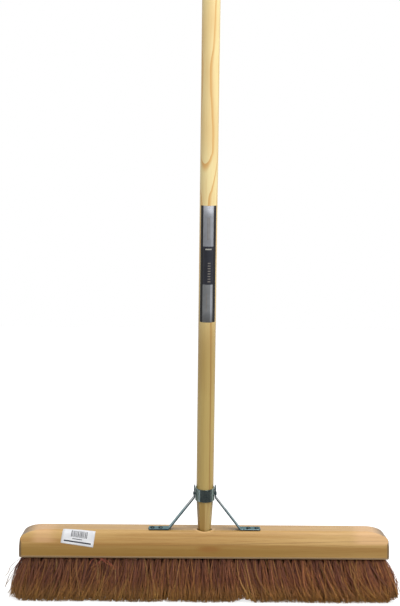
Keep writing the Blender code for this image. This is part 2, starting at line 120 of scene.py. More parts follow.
# %% [markdown]
# ## How wood grows
#
# Both woods of the broom need the same two things. A tree adds a ring each year: pale early wood,
# then darker late wood that ends sharply. A wave texture could draw such rings, but it repeats.
# Here they are drawn as in a real log: a point's ring is its distance from the pith, divided by
# a ring's width, and the pith wanders a little. A saw that slices the log then shows streaks,
# arches or U shapes by itself. Everything finer, such as pores, is a noise that is drawn out
# along the grain.

# %% Stretched noise and growth rings
MM = 0.001


def stretched_noise(finish, place, cells, detail, roughness=0.5, output=None):
    """A cloudy pattern with its own number of cells to the metre along each axis."""
    stretched = add_node(finish, "VectorMath", {0: place, 1: cells}, operation="MULTIPLY")
    return add_node(finish, "TexNoise", {"Vector": stretched, "Scale": 1.0, "Detail": detail,
                                         "Roughness": roughness}, output)


def from_pith(wood, place, log, cells, sway, section):
    """Distance from a log's swaying pith; section is 1 for the two axes across the log."""
    wander = stretched_noise(wood, place, cells, 2.0, output="Color")
    shift = add_node(wood, "VectorMath", {0: wander, 1: (0.5, 0.5, 0.5)}, operation="SUBTRACT")
    bent = add_node(wood, "VectorMath", {0: shift, 1: sway, 2: log}, operation="MULTIPLY_ADD")
    across = add_node(wood, "VectorMath", {0: bent, 1: section}, operation="MULTIPLY")
    return add_node(wood, "VectorMath", {0: across}, "Value", operation="LENGTH")


def late_wood(wood, distance, ring_width, begins, full, ends):
    """1 in a ring's late wood and 0 in its early wood; the last three are shares of a ring."""
    ring = add_node(wood, "Math", {0: distance, 1: ring_width}, operation="DIVIDE")
    part = add_node(wood, "Math", {0: ring}, operation="FRACT")
    rise = add_node(wood, "MapRange", {"Value": part, "From Min": begins, "From Max": full},
                    **EASED)
    fall = add_node(wood, "MapRange", {"Value": part, "From Min": 1.0, "From Max": ends}, **EASED)
    return add_node(wood, "Math", {0: rise, 1: fall}, operation="MULTIPLY")


print(f"pores 45 mm long are {1 / (45 * MM):.1f} cells to the metre")

# %% [markdown]
# ## The stock's wood: light hardwood
#
# The stock is sawn from a plank of pale hardwood and shaped on a moulder. The plank's growth
# rings are nearly flat layers, so along the stock they show as long dark streaks, which wander
# a little and bend round one small knot. The pith lies far behind the plank, so the streaks on
# the side, the shoulder and the top belong together. Towards its right end the wood is painted
# paler, a painted light for the light that falls brighter there. Each of these is kept as a
# layer: an amount from 0 to 1, and the colour that is laid over the others by that amount.

# %% The bare hardwood's layers
STOCK_RING = 4.69 * MM          # so that a ring's edge runs along the foot of the shoulder
STOCK_PITH = (0, 0.090, 0.062)  # 90 mm behind the plank's middle
PITH_TURN = math.radians(0.12)  # from the stock's length, so that rings run out at the front
STREAK_DARKNESS = 0.32
PALER_FROM, PALER_TO = 0.02, 0.27    # places along the stock
BULGE = 1.1 * MM                # how far the knot pushes the rings aside


def bare_layers(wood, place, along, pores, from_knot):
    """The bare wood's layers, lowest first: painted light at the right end, dark streaks and
    pores.
    """
    log = add_node(wood, "Mapping", {"Vector": place, "Location": STOCK_PITH,
                                     "Rotation": (0, 0, PITH_TURN)}, vector_type="TEXTURE")
    straight = from_pith(wood, place, log, cells=(4.5, 24.0, 24.0), sway=(0.0, 0.004, 0.004),
                         section=(0.0, 1.0, 1.0))
    bulge = add_node(wood, "MapRange", {"Value": from_knot, "From Min": 1.0, "From Max": 0.0,
                                        "To Max": BULGE}, **EASED)
    depth = add_node(wood, "Math", {0: straight, 1: bulge}, operation="ADD")
    late = late_wood(wood, depth, STOCK_RING, begins=0.50, full=0.95, ends=0.90)
    streak = add_node(wood, "Math", {0: late, 1: STREAK_DARKNESS}, operation="MULTIPLY")
    # Painted light: paler towards the right end, where the light falls brighter
    painted_light_right_end = add_node(wood, "MapRange", {"Value": along, "From Min": PALER_FROM,
                                        "From Max": PALER_TO, "To Max": 0.36}, **EASED)
    dark = add_node(wood, "MapRange", {"Value": pores, "From Min": 0.50, "From Max": 0.75,
                                       "To Max": 0.45})
    return [(painted_light_right_end, "DFBA80"), (streak, "965F2B"), (dark, "84552A")]


print(f"the stock's growth rings are {STOCK_RING / MM:.2f} mm wide")

# %% [markdown]
# ## Painted light and shade on the stock, and its check
#
# The shaped stock was dipped in clear lacquer. Lower down it is painted browner, a painted shade
# for the less light that reaches its lower front, and the shoulder near both ends is painted
# paler, a painted highlight of the lacquer's gloss. Drying opened a hair crack in the front, a
# drying check. The lower edge and a rim round the socket's mouth are painted paler: painted
# light for the floor's light on that edge, and over the shade in the gap round the handle. Where
# the wood faces sideways, at the ends, it is darker. All of these are more layers, and each
# follows a height, a distance or a direction.

# %% The lacquer's layers
SHADE_FROM, SHADE_TO = 0.106, 0.084                # heights where it begins and is full
CHECK_HEIGHT, CHECK_SLOPE = 0.0964, 0.026      # the check climbs a little to the right
CHECK_WAVE, CHECK_HALF_WIDTH = 1.8 * MM, 0.5 * MM
CHECK_FROM, CHECK_TO = -0.12, 0.03             # places along the stock
LEFT_END_FROM, LEFT_END_TO = -0.290, -0.272
SHEEN_FROM, SHEEN_TO = 0.236, 0.262              # distances from the stock's middle
SHOULDER_FROM, SHOULDER_TO = 0.096, 0.099      # heights


def shade_and_mark_layers(wood, along, height, patches, from_knot):
    """The layers of painted shade lower down, the knot's heart, the check and painted highlights.
    """
    # Painted shade: browner lower down, less so towards the right end, for the less light there
    most = add_node(wood, "MapRange", {"Value": along, "From Min": PALER_FROM,
                                       "From Max": PALER_TO, "To Min": 0.72, "To Max": 0.60})
    thick = add_node(wood, "MapRange", {"Value": height, "From Min": SHADE_FROM,
                                        "From Max": SHADE_TO, "To Max": most}, **EASED)
    heart = add_node(wood, "MapRange", {"Value": from_knot, "From Min": 0.80, "From Max": 0.20,
                                        "To Max": 0.65}, **EASED)
    # A real one is as fine as a hair; drawn 1 mm wide, so that it shows
    climbed = add_node(wood, "Math", {0: along, 1: -CHECK_SLOPE, 2: height},
                       operation="MULTIPLY_ADD")
    wavy = add_node(wood, "Math", {0: patches, 1: CHECK_WAVE, 2: climbed},
                    operation="MULTIPLY_ADD")
    on_line = add_node(wood, "Math", {0: wavy, 1: CHECK_HEIGHT, 2: CHECK_HALF_WIDTH},
                       operation="COMPARE")
    opens = add_node(wood, "MapRange", {"Value": along, "From Min": CHECK_FROM,
                                        "From Max": CHECK_TO, "To Min": 0.08, "To Max": 0.42})
    crack = add_node(wood, "Math", {0: on_line, 1: opens}, operation="MULTIPLY")
    # Painted highlight of the lacquer's gloss: near an end, but not at the very end on the left,
    # and on the shoulder
    from_middle = add_node(wood, "Math", {0: along}, operation="ABSOLUTE")
    near_end = add_node(wood, "MapRange", {"Value": from_middle, "From Min": SHEEN_FROM,
                                           "From Max": SHEEN_TO}, **EASED)
    not_last = add_node(wood, "MapRange", {"Value": along, "From Min": LEFT_END_FROM,
                                           "From Max": LEFT_END_TO}, **EASED)
    up_there = add_node(wood, "MapRange", {"Value": height, "From Min": SHOULDER_FROM,
                                           "From Max": SHOULDER_TO, "To Max": 0.40})
    sheen_place = add_node(wood, "Math", {0: near_end, 1: not_last}, operation="MULTIPLY")
    painted_sheen = add_node(wood, "Math", {0: sheen_place, 1: up_there}, operation="MULTIPLY")
    return [(thick, "856018"), (heart, "94622C"), (crack, "6E4423"), (painted_sheen, "E2B48A")]


print(f"the check is {2 * CHECK_HALF_WIDTH / MM:.0f} mm wide, at z = {CHECK_HEIGHT / MM:.0f} mm")

# %% The layers that the tools left
EDGE_TOP, EDGE_FULL = 0.0762, 0.0750           # heights of the lower edge's painted light
MOUTH_RIM, MOUTH_INNER = 20 * MM, 16 * MM      # distances from the middle of the mouth


def edge_mouth_and_end_layers(wood, place, height):
    """The layers of painted light at the lower edge and the mouth, and darker sideways faces."""
    # Painted light: the lower edge is painted paler, for the light that the floor throws up on it
    painted_light_low_edge = add_node(wood, "MapRange", {"Value": height, "From Min": EDGE_TOP,
                                         "From Max": EDGE_FULL, "To Max": 0.75})
    # Painted light: a paler rim round the mouth, over the shade in the gap round the handle
    # Heights count three times as much, so that the rim stays on the stock's top
    from_mouth = add_node(wood, "VectorMath", {0: place, 1: MOUTH}, operation="SUBTRACT")
    level = add_node(wood, "VectorMath", {0: from_mouth, 1: (1.0, 1.0, 3.0)},
                     operation="MULTIPLY")
    off_axis = add_node(wood, "VectorMath", {0: level}, "Value", operation="LENGTH")
    painted_light_mouth_rim = add_node(wood, "MapRange", {"Value": off_axis, "From Min": MOUTH_RIM,
                                        "From Max": MOUTH_INNER, "To Max": 0.45})
    # Darker where the wood faces sideways, at the stock's ends
    facing = add_node(wood, "NewGeometry", {}, "Normal")
    sideways = add_node(wood, "SeparateXYZ", {"Vector": facing}, "X")
    outwards = add_node(wood, "Math", {0: sideways}, operation="ABSOLUTE")
    darker_facing_sideways = add_node(wood, "MapRange", {"Value": outwards, "From Min": 0.16, "From Max": 0.45,
                                         "To Max": 0.80})
    return [(painted_light_low_edge, "B29A7A"), (painted_light_mouth_rim, "EAC084"), (darker_facing_sideways, "624D33")]


print(f"the mouth's pale rim is {2 * MOUTH_RIM / MM:.0f} mm across")

# %% Lacquered hardwood
KNOT = (0.008, -0.032, 0.0880)       # in the front, a little to the right of the handle
KNOT_REACH = (0.036, 0.030, 0.0095)  # along, into and up the stock


def stock_wood():
    """Long streaks and fine pores under a clear lacquer, which gives a soft sheen."""
    wood = new_finish("lacquered_hardwood", IOR=1.5, Specular_IOR_Level=0.35,
                      Coat_Weight=0.05, Coat_Roughness=0.3, Coat_IOR=1.5)
    place = add_node(wood, "TexCoord", {}, "Object")
    along = add_node(wood, "SeparateXYZ", {"Vector": place}, "X")
    height = add_node(wood, "SeparateXYZ", {"Vector": place}, "Z")
    knot = add_node(wood, "Mapping", {"Vector": place, "Location": KNOT, "Scale": KNOT_REACH},
                    vector_type="TEXTURE")
    from_knot = add_node(wood, "VectorMath", {0: knot}, "Value", operation="LENGTH")
    # Pores are 0.1 mm wide on the real wood; 0.5 mm here, so that they show
    pores = stretched_noise(wood, place, (1 / 0.045, 1 / 0.0009, 1 / 0.0009), 3.0, roughness=0.6)
    patches = stretched_noise(wood, place, (2.5, 120.0, 120.0), 2.0)

    patchy = add_node(wood, "MapRange", {"Value": patches, "From Min": 0.35, "From Max": 0.65})
    colour = add_node(wood, "Mix", {"Factor": patchy, "A": linear("C8A467"),
                                    "B": linear("B58C50")}, **COLOURS)
    for amount, tint in (bare_layers(wood, place, along, pores, from_knot)
                         + shade_and_mark_layers(wood, along, height, patches, from_knot)
                         + edge_mouth_and_end_layers(wood, place, height)):
        colour = add_node(wood, "Mix", {"Factor": amount, "A": colour, "B": linear(tint)},
                          **COLOURS)
    sheen = add_node(wood, "MapRange", {"Value": pores, "To Min": 0.38, "To Max": 0.56})
    bump = add_node(wood, "Bump", {"Height": pores, "Strength": 0.25, "Distance": 0.15 * MM})
    connect(wood, Base_Color=colour, Roughness=sheen, Normal=bump)
    return wood


STOCK_WOOD = stock_wood()
print(STOCK_WOOD.name, "has", len(STOCK_WOOD.node_tree.nodes), "nodes")

# %% [markdown]
# ## The handle's wood: waxed softwood
#
# The handle is turned from a squared stick of pale softwood. The log's pith ran behind it and
# slowly away from it, so the front of the handle slices through one growth ring after another,
# and each slice shows as a tall U with a pale inside and a tan rim. Drawing the rings round that
# slanted pith gives the U shapes, the straight lines on the sides and the arcs on the end
# without drawing any of them. Towards the stay the wood is darker and duller. Its whittled foot
# is painted darker on the left, a painted shade, and paler on the right, a painted light for the
# lamp on that side.

# %% Where the handle's pith ran
RING_WIDTH = 9 * MM
PITH = (0.0175, 0.0360, 0)      # beside and behind the handle's axis
GRAIN_TOP = 1.34                # the height up to which the pith's drift is given
MOST_DRIFT = 10                 # in mm, nearer or further
# Heights along the handle, and how much further off than that the pith lies there, in mm
PITH_DRIFT = [(0.0, -4.4), (0.07, -4.8), (0.257, -5.3), (0.358, -5.9), (0.455, -7.0),
              (0.526, -8.3), (0.550, -8.1), (0.565, -6.5), (0.588, -3.0), (0.606, 0.0),
              (0.618, 1.8), (0.634, 3.1), (0.687, 2.1), (0.748, 0.9), (0.786, 2.2),
              (0.838, 3.4), (0.93, 5.0), (1.02, 2.0), (1.15, 6.0), (GRAIN_TOP, 3.0)]


def handle_late_wood(wood, along, height):
    """The late wood of the handle's rings, round a pith that drifts as the curve says."""
    log = add_node(wood, "Mapping", {"Vector": along, "Location": PITH}, vector_type="TEXTURE")
    depth = from_pith(wood, along, log, cells=(30.0, 30.0, 9.0), sway=(0.003, 0.003, 0.0),
                      section=(1.0, 1.0, 0.0))
    share = add_node(wood, "Math", {0: height, 1: GRAIN_TOP}, operation="DIVIDE")
    drift = add_node(wood, "FloatCurve", {"Value": share})
    curve = drift.node.mapping.curves[0]
    marks = [(up / GRAIN_TOP, 0.5 + further / (2 * MOST_DRIFT)) for up, further in PITH_DRIFT]
    curve.points[0].location, curve.points[1].location = marks[0], marks[-1]
    for mark in marks[1:-1]:
        curve.points.new(*mark)
    drift.node.mapping.update()
    drifted = add_node(wood, "MapRange", {"Value": drift, "To Min": -MOST_DRIFT * MM,
                                          "To Max": MOST_DRIFT * MM})
    grown = add_node(wood, "Math", {0: depth, 1: drifted}, operation="ADD")
    return late_wood(wood, grown, RING_WIDTH, begins=0.70, full=0.97, ends=0.975)


print(f"the handle's growth rings are {RING_WIDTH / MM:.0f} mm wide")

# %% Waxed softwood
DARKER_FROM, DARKER_TO = 0.46, 0.28      # heights along the handle
FOOT_FROM, FOOT_TO = 0.075, 0.040


def handle_wood():
    """Slanted growth rings with a broad pale part and a thin tan one, darker towards the foot.

    The foot's left side is painted shade and its right side painted light.
    """
    wood = new_finish("waxed_softwood", IOR=1.5, Coat_Weight=0.12, Coat_Roughness=0.4,
                      Coat_IOR=1.5)
    place = add_node(wood, "TexCoord", {}, "Object")
    along = add_node(wood, "Mapping", {"Vector": place, "Location": MOUTH,
                                       "Rotation": (LEAN, 0, 0)}, vector_type="TEXTURE")
    height = add_node(wood, "SeparateXYZ", {"Vector": along}, "Z")
    late = handle_late_wood(wood, along, height)
    warm = stretched_noise(wood, along, (24.0, 24.0, 7.2), 1.0)
    warmth = add_node(wood, "MapRange", {"Value": warm, "From Min": 0.42, "From Max": 0.68,
                                         "To Max": 0.55})
    # Wood fibres are far thinner; drawn 0.6 mm wide and 60 mm long, so that they show
    fibres = stretched_noise(wood, along, (1 / 0.0011, 1 / 0.0011, 1 / 0.060), 3.0, roughness=0.6)
    dark = add_node(wood, "MapRange", {"Value": fibres, "From Min": 0.50, "From Max": 0.80,
                                       "To Max": 0.40})
    # Darker and duller towards the foot, below the label
    worn = add_node(wood, "MapRange", {"Value": height, "From Min": DARKER_FROM,
                                       "From Max": DARKER_TO}, **EASED)
    early, tan = (add_node(wood, "Mix", {"Factor": worn, "A": linear(upper_colour), "B": linear(lower_colour)},
                           **COLOURS)
                  for upper_colour, lower_colour in (("F1E0A5", "BCA25F"), ("D8A761", "A07A40")))
    # Painted shade on the foot's left facet and painted light on its right, which faces the key
    # lamp
    beside = add_node(wood, "SeparateXYZ", {"Vector": along}, "X")
    right = add_node(wood, "MapRange", {"Value": beside, "From Min": -0.2 * MM,
                                        "From Max": 1.2 * MM})
    painted_shade_left_light_right = add_node(wood, "Mix", {"Factor": right, "A": linear("9E7024"),
                                       "B": linear("CCB276")}, **COLOURS)
    foot = add_node(wood, "MapRange", {"Value": height, "From Min": FOOT_FROM,
                                       "From Max": FOOT_TO, "To Max": 0.40})
    colour = early
    for amount, tint in ((warmth, tan), (late, tan), (dark, tan), (foot, painted_shade_left_light_right)):
        colour = add_node(wood, "Mix", {"Factor": amount, "A": colour, "B": tint}, **COLOURS)
    sheen = add_node(wood, "MapRange", {"Value": fibres, "To Min": 0.42, "To Max": 0.60})
    bump = add_node(wood, "Bump", {"Height": fibres, "Strength": 0.25, "Distance": 0.15 * MM})
    connect(wood, Base_Color=colour, Roughness=sheen, Normal=bump)
    return wood


HANDLE_WOOD = handle_wood()
print(HANDLE_WOOD.name, "has", len(HANDLE_WOOD.node_tree.nodes), "nodes")

# %% [markdown]
# ## The stay's metal: zinc-plated steel
#
# The strap, the arms and the fasteners are cold-rolled mild steel, pressed and then plated with
# zinc. The plating is a grey that leans to blue-green, and it is neither a mirror nor dull: the
# rolled strip's fine lines show through it, and fingers and weather leave cloudy spots. A metal
# has no colour but that of its reflections, so the base colour is those reflections' tint, and
# most of what the eye reads comes from the roughness, which the clouds and lines vary.

# %% Zinc-plated steel
# Distances to the side of the stay's middle, and heights, where something starts and is full
EAR_FROM, EAR_TO = 15.9 * MM, 16.6 * MM
HIGH_FROM, HIGH_TO = 0.150, 0.165
CORNER_FROM, CORNER_TO = 11.0 * MM, 12.5 * MM
OUTSIDE_FROM, OUTSIDE_TO = 16.0 * MM, 15.5 * MM
MOST_EAR_SHADE, MOST_CORNER_HIGHLIGHT = 0.92, 0.85


def zinc_plating(name, bright, dull):
    """Blue-grey metal with cloudy spots, rolling lines, painted shade and highlights by the clamp.
    """
    zinc = new_finish(name, Specular_Tint=linear("A9BABA"))
    place = add_node(zinc, "TexCoord", {}, "Object")
    clouds = add_node(zinc, "TexNoise", {"Vector": place, "Scale": 1 / 0.009, "Detail": 4.0,
                                         "Roughness": 0.6})
    # Rolling lines are about 0.05 mm apart; 0.4 mm here, so that they show
    lines = stretched_noise(zinc, place, (1 / 0.030, 1 / 0.0008, 1 / 0.030), 2.0)
    # Painted shade on the strap's ears, beside the band and above the arms' bends
    sideways = add_node(zinc, "SeparateXYZ", {"Vector": place}, "X")
    beside = add_node(zinc, "Math", {0: sideways}, operation="ABSOLUTE")
    ear = add_node(zinc, "MapRange", {"Value": beside, "From Min": EAR_FROM,
                                      "From Max": EAR_TO})
    height = add_node(zinc, "SeparateXYZ", {"Vector": place}, "Z")
    high = add_node(zinc, "MapRange", {"Value": height, "From Min": HIGH_FROM,
                                       "From Max": HIGH_TO, "To Max": MOST_EAR_SHADE})
    painted_shade_on_ears = add_node(zinc, "Math", {0: ear, 1: high}, operation="MULTIPLY")
    # Painted highlight: pale matt colour in the corner between the band and the arms
    corner = add_node(zinc, "MapRange", {"Value": beside, "From Min": CORNER_FROM,
                                         "From Max": CORNER_TO})
    outside = add_node(zinc, "MapRange", {"Value": beside, "From Min": OUTSIDE_FROM,
                                          "From Max": OUTSIDE_TO})
    corner_band = add_node(zinc, "Math", {0: corner, 1: outside}, operation="MULTIPLY")
    painted_highlight_in_corner = add_node(zinc, "Math", {0: corner_band, 1: MOST_CORNER_HIGHLIGHT}, operation="MULTIPLY")
    cloudy = add_node(zinc, "MapRange", {"Value": clouds, "From Min": 0.38, "From Max": 0.62})
    colour = linear(bright)
    for amount, tint in ((cloudy, dull), (painted_shade_on_ears, "222E2E"), (painted_highlight_in_corner, "B4C6BC")):
        colour = add_node(zinc, "Mix", {"Factor": amount, "A": colour, "B": linear(tint)},
                          **COLOURS)
    painted_over = add_node(zinc, "Math", {0: painted_highlight_in_corner, 1: painted_shade_on_ears}, operation="MAXIMUM")
    bare = add_node(zinc, "Math", {0: 1.0, 1: painted_over}, operation="SUBTRACT")
    rolled = add_node(zinc, "MapRange", {"Value": lines, "To Min": -0.05, "To Max": 0.05})
    base = add_node(zinc, "MapRange", {"Value": clouds, "To Min": 0.14, "To Max": 0.34})
    rough = add_node(zinc, "Math", {0: base, 1: rolled}, operation="ADD")
    bump = add_node(zinc, "Bump", {"Height": lines, "Strength": 0.15, "Distance": 0.05 * MM})
    connect(zinc, Base_Color=colour, Metallic=bare, Roughness=rough, Normal=bump)
    return zinc


ZINC = zinc_plating("zinc_plated_steel", "8A9FA4", "68808A")
# Darker copies of the same zinc, painted shade for the band's dark front and the screw heads
BAND_ZINC = zinc_plating("zinc_painted_darker_on_band", "808D8B", "5E6C6E")
SCREW_ZINC = zinc_plating("zinc_painted_darker_on_screws", "5C6E74", "3E4C50")
print(ZINC.name, "has", len(ZINC.node_tree.nodes), "nodes")

# %% [markdown]
# ## Dressing the rigid pieces
#
# No made edge is perfectly sharp: wood is sanded and steel strip is tumbled before plating, and
# the thin bright line along a softened edge is what makes a piece look real. The imported solid
# is left as it is and hidden, and each rigid piece is copied. A imported solid's mesh may not be
# changed, so each rigid piece is copied. The copy's split corners are welded and its flat areas
# joined to single faces, then a Bevel modifier softens the edges that turn by more than 30
# degrees, on the wood by more than about 10, and hardened normals keep flat faces flat.

# %% One copy with softened edges for each solid
WELD = 0.01 * MM
FLAT = math.radians(0.5)        # faces that turn by less are joined to one


def put(name, data):
    """Stands a new object made of this data in the scene."""
    thing = bpy.data.objects.new(name, data)
    bpy.context.scene.collection.objects.link(thing)
    return thing


def dress(node_name, finish, edge, sharp=30, weld=WELD, leave=lambda point: False):
    """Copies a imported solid, softens its edges by a width in metres and gives it its finish.

    Edges that turn by more than sharp degrees are softened, but for those that are to be left.
    """
    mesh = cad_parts[node_name].data.copy()
    shape = bmesh.new()
    shape.from_mesh(mesh)
    bmesh.ops.remove_doubles(shape, verts=shape.verts, dist=weld)
    bmesh.ops.dissolve_limit(shape, angle_limit=FLAT, verts=shape.verts, edges=shape.edges)
    weight = shape.edges.layers.float.new("bevel_weight_edge")
    for border in shape.edges:
        middle = (border.verts[0].co + border.verts[1].co) / 2
        turns = border.calc_face_angle(0) > math.radians(sharp)
        border.smooth = not turns
        border[weight] = float(turns and not leave(middle))
    shape.to_mesh(mesh)
    shape.free()
    if "custom_normal" in mesh.attributes:
        mesh.attributes.remove(mesh.attributes["custom_normal"])
    mesh.materials.clear()
    mesh.materials.append(finish)
    for face in mesh.polygons:
        face.use_smooth = True
    piece = put(node_name + "_finished", mesh)
    soften = piece.modifiers.new("softened_edges", "BEVEL")
    soften.width = edge
    soften.segments = 2
    soften.limit_method = "WEIGHT"
    soften.use_clamp_overlap = False
    soften.harden_normals = True
    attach(piece, "root")
    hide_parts(node_name)
    print(f"{piece.name}: {len(mesh.polygons)} faces, {edge / MM} mm edges")
    return piece


print(f"corners nearer than {WELD / MM} mm are welded")

# %% Every rigid piece
HOLES_ALONG, HOLES_ACROSS, HOLES_ABOVE = 0.1, 0.030, TRIM + 5 * MM


def in_holes(point):
    """Whether a point of the stock lies in its socket or one of its screw holes."""
    return (abs(point.x) < HOLES_ALONG and abs(point.y) < HOLES_ACROSS
            and point.z > HOLES_ABOVE)


dress("stock", STOCK_WOOD, 0.25 * MM, sharp=10, weld=0.2 * MM, leave=in_holes)
dress("handle", HANDLE_WOOD, 0.3 * MM, sharp=12)
dress("stay_band", BAND_ZINC, 0.25 * MM)
for side in ("left", "right"):
    dress("stay_arm_" + side, ZINC, 0.30 * MM)
    dress("tab_rivet_" + side, ZINC, 0.12 * MM)
    for place in ("inner", "outer"):
        dress(f"foot_screw_{side}_{place}", SCREW_ZINC, 0.08 * MM)
for fastener in ("clamp_bolt", "clamp_washer", "clamp_nut"):
    dress(fastener, ZINC, 0.12 * MM)

# %% [markdown]
# ## The coir's finish
#
# Coir is the husk of the coconut, retted, beaten and combed to stiff fibres a third of a
# millimetre thick. Hardly any two have the same colour: most are red-brown, some are nearly
# black, and a few are pale straw. Near the stock the tufts are dark with dust and shade, and
# their cut ends are worn golden. Each fibre's tone and how far along it a point lies are kept on
# the mesh as attributes when it is made, and the material only looks them up.

# %% Combed coir
def combed_coir():
    """Dark at the root and golden at the tip, with a tone of its own for every fibre."""
    coir = new_finish("combed_coir", IOR=1.5)
    tone = add_node(coir, "Attribute", {}, "Fac", attribute_name="tone")
    along = add_node(coir, "Attribute", {}, "Fac", attribute_name="along")
    kind = add_node(coir, "ValToRGB", {"Fac": tone})
    stops = kind.node.color_ramp.elements
    stops[0].color = linear("C8604A")
    stops[1].position, stops[1].color = 1.0, linear("DEC494")
    for position, tint in ((0.05, "54342E"), (0.22, "7E4832"), (0.45, "A8683C"),
                           (0.66, "BA803C"), (0.86, "C89A58")):
        stops.new(position).color = linear(tint)
    place = add_node(coir, "TexCoord", {}, "Object")
    mottle = add_node(coir, "TexNoise", {"Vector": place, "Scale": 1 / 0.006, "Detail": 2.0})
    mottled = add_node(coir, "MapRange", {"Value": mottle, "From Min": 0.3, "From Max": 0.7,
                                          "To Min": 0.75, "To Max": 1.2})
    sideways = add_node(coir, "SeparateXYZ", {"Vector": place}, "X")
    # Darker towards the left end and brighter towards the right
    darker_left_brighter_right = add_node(coir, "MapRange", {"Value": sideways, "From Min": -0.25, "From Max": 0.25,
                                        "To Min": 0.81, "To Max": 1.16})
    level = add_node(coir, "Math", {0: mottled, 1: darker_left_brighter_right}, operation="MULTIPLY")
    colour = add_node(coir, "VectorMath", {0: kind, "Scale": level}, operation="SCALE")
    # Painted shade and dust near the root, where the tufts leave the stock
    dust_and_shade_at_root = add_node(coir, "MapRange", {"Value": along, "To Min": 0.34, "To Max": 0.0})
    gold = add_node(coir, "MapRange", {"Value": along, "From Min": 0.55, "To Max": 0.50})
    for amount, tint in ((dust_and_shade_at_root, "7A5149"), (gold, "B88E42")):
        colour = add_node(coir, "Mix", {"Factor": amount, "A": colour, "B": linear(tint)},
                          **COLOURS)
    rough = add_node(coir, "MapRange", {"Value": mottle, "To Min": 0.50, "To Max": 0.75})
    bump = add_node(coir, "Bump", {"Height": mottle, "Strength": 0.3, "Distance": 0.05 * MM})
    connect(coir, Base_Color=colour, Roughness=rough, Normal=bump)
    return coir


COIR = combed_coir()
print(COIR.name, "has", len(COIR.node_tree.nodes), "nodes")

# %% [markdown]
# ## The drilled underside
#
# A brush machine drills the stock in staggered rows and shoots a folded tuft into each hole with
# a staple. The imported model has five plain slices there, which carry its few thick strands. Here
# they give way to a thin drilled board: a Boolean modifier takes all the drill bits out of it at
# once, and a Bevel modifier softens the rims of the holes.

# %% Where the tufts stand
ROWS = 5
TUFT_PITCH = 0.0132
ROW_PITCH = 0.0104
TUFTS = 45               # in a row
BOARD_LENGTH, BOARD_WIDTH, BOARD_THICKNESS = 0.5988, 0.0518, 0.0044
HOLE_RADIUS, HOLE_DEPTH = 0.0040, 0.0038


def tuft_places(row):
    """The middle of each tuft of a row; every other row is shifted by half a pitch."""
    stagger = TUFT_PITCH / 4 if (row - ROWS // 2) % 2 == 0 else -TUFT_PITCH / 4
    y = (row - (ROWS - 1) / 2) * ROW_PITCH
    return [((tuft - TUFTS // 2) * TUFT_PITCH + stagger, y) for tuft in range(TUFTS)]


holes = [place for row in range(ROWS) for place in tuft_places(row)]
print(f"{len(holes)} holes, {TUFT_PITCH / MM:.1f} mm apart in rows {ROW_PITCH / MM:.1f} mm apart")

# %% The drilled board
def as_mesh(name, shape):
    """A new mesh of a shape that is finished."""
    mesh = bpy.data.meshes.new(name)
    shape.to_mesh(mesh)
    shape.free()
    return mesh


def drilled_board():
    """A thin board in the stock's recess with a hole for each tuft, its rims softened."""
    shape = bmesh.new()
    made = bmesh.ops.create_cube(shape, size=1.0)
    bmesh.ops.scale(shape, vec=(BOARD_LENGTH, BOARD_WIDTH, BOARD_THICKNESS), verts=made["verts"])
    bmesh.ops.translate(shape, vec=(0, 0, TRIM + BOARD_THICKNESS / 2), verts=made["verts"])
    bits = bmesh.new()
    for x, y in holes:
        bit = bmesh.ops.create_cone(bits, cap_ends=True, segments=16, radius1=HOLE_RADIUS,
                                    radius2=HOLE_RADIUS, depth=2 * HOLE_DEPTH)
        bmesh.ops.translate(bits, vec=(x, y, TRIM), verts=bit["verts"])
    board = put("drilled_board", as_mesh("drilled_board", shape))
    drill = put("drill_bits", as_mesh("drill_bits", bits))
    drilling = board.modifiers.new("drilling", "BOOLEAN")
    drilling.solver = "EXACT"
    drilling.object = drill
    rims = board.modifiers.new("softened_rims", "BEVEL")
    rims.width = 0.25 * MM
    rims.segments = 1
    rims.angle_limit = math.radians(30)
    drilled = board.evaluated_get(bpy.context.evaluated_depsgraph_get())
    board.data = bpy.data.meshes.new_from_object(drilled)
    board.modifiers.clear()
    bpy.data.objects.remove(drill)
    board.data.materials.clear()
    board.data.materials.append(STOCK_WOOD)
    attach(board, "root")
    return board


board = drilled_board()
print(f"{board.name}: {len(board.data.polygons)} faces")

# %% [markdown]
# ## The coir
#
# Blender's hair would be the quick way, but hair has no solid form, so it can't leave the scene
# as a mesh. Here each fibre is a thin three-sided tube. What makes it look like coir is how the
# fibres lie: they leave the hole in a tight bundle, gather in locks that share a lean and a
# curve, and cross their neighbours lower down, so that the tufts are only told apart near the
# stock. The whole brush has taken a set in use: it fans outwards at both ends. Arrays of numbers
# build all the fibres of a row at once, which takes a second instead of minutes.

# %% How the worn brush leans
# Degrees away from straight down at places along the stock, positive towards +X
LEAN_PLACES = [-0.30, -0.27, -0.20, -0.12, -0.04, 0.04, 0.10, 0.15, 0.20, 0.25, 0.28, 0.30]
LEAN_DEGREES = [-12, -15, -14, -8, -1, 5, 16, 20, 24, 27, 20, 12]
# How far the cut ends stand off the floor at places along the stock, in metres
TRIM_PLACES = [-0.3185, -0.302, -0.25, -0.18, -0.11, -0.05, 0.0, 0.045,
               0.066, 0.085, 0.14, 0.21, 0.302, 0.3185]
TRIM_LIFTS = [0.008, 0.002, 0.001, 0.002, 0.0005, 0.002, 0.0005, 0.001,
              0.007, 0.001, 0.002, 0.0005, 0.002, 0.010]

LOCKS = 36               # in a tuft
FIBRES = 3               # in a lock
BUNDLE = 0.0035          # half the width of a tuft in its hole
OPENING = 0.0080         # how much wider it is at its tips
REACH = 0.3185           # the coir stays this near the stock's middle
DEPTH_REACH = 0.0365     # and this near it from front to back
RINGS = np.array([0.0, 0.10, 0.24, 0.42, 0.62, 0.82, 1.0])   # where a fibre bends, root to tip
print(f"{ROWS * TUFTS * LOCKS * FIBRES} fibres")

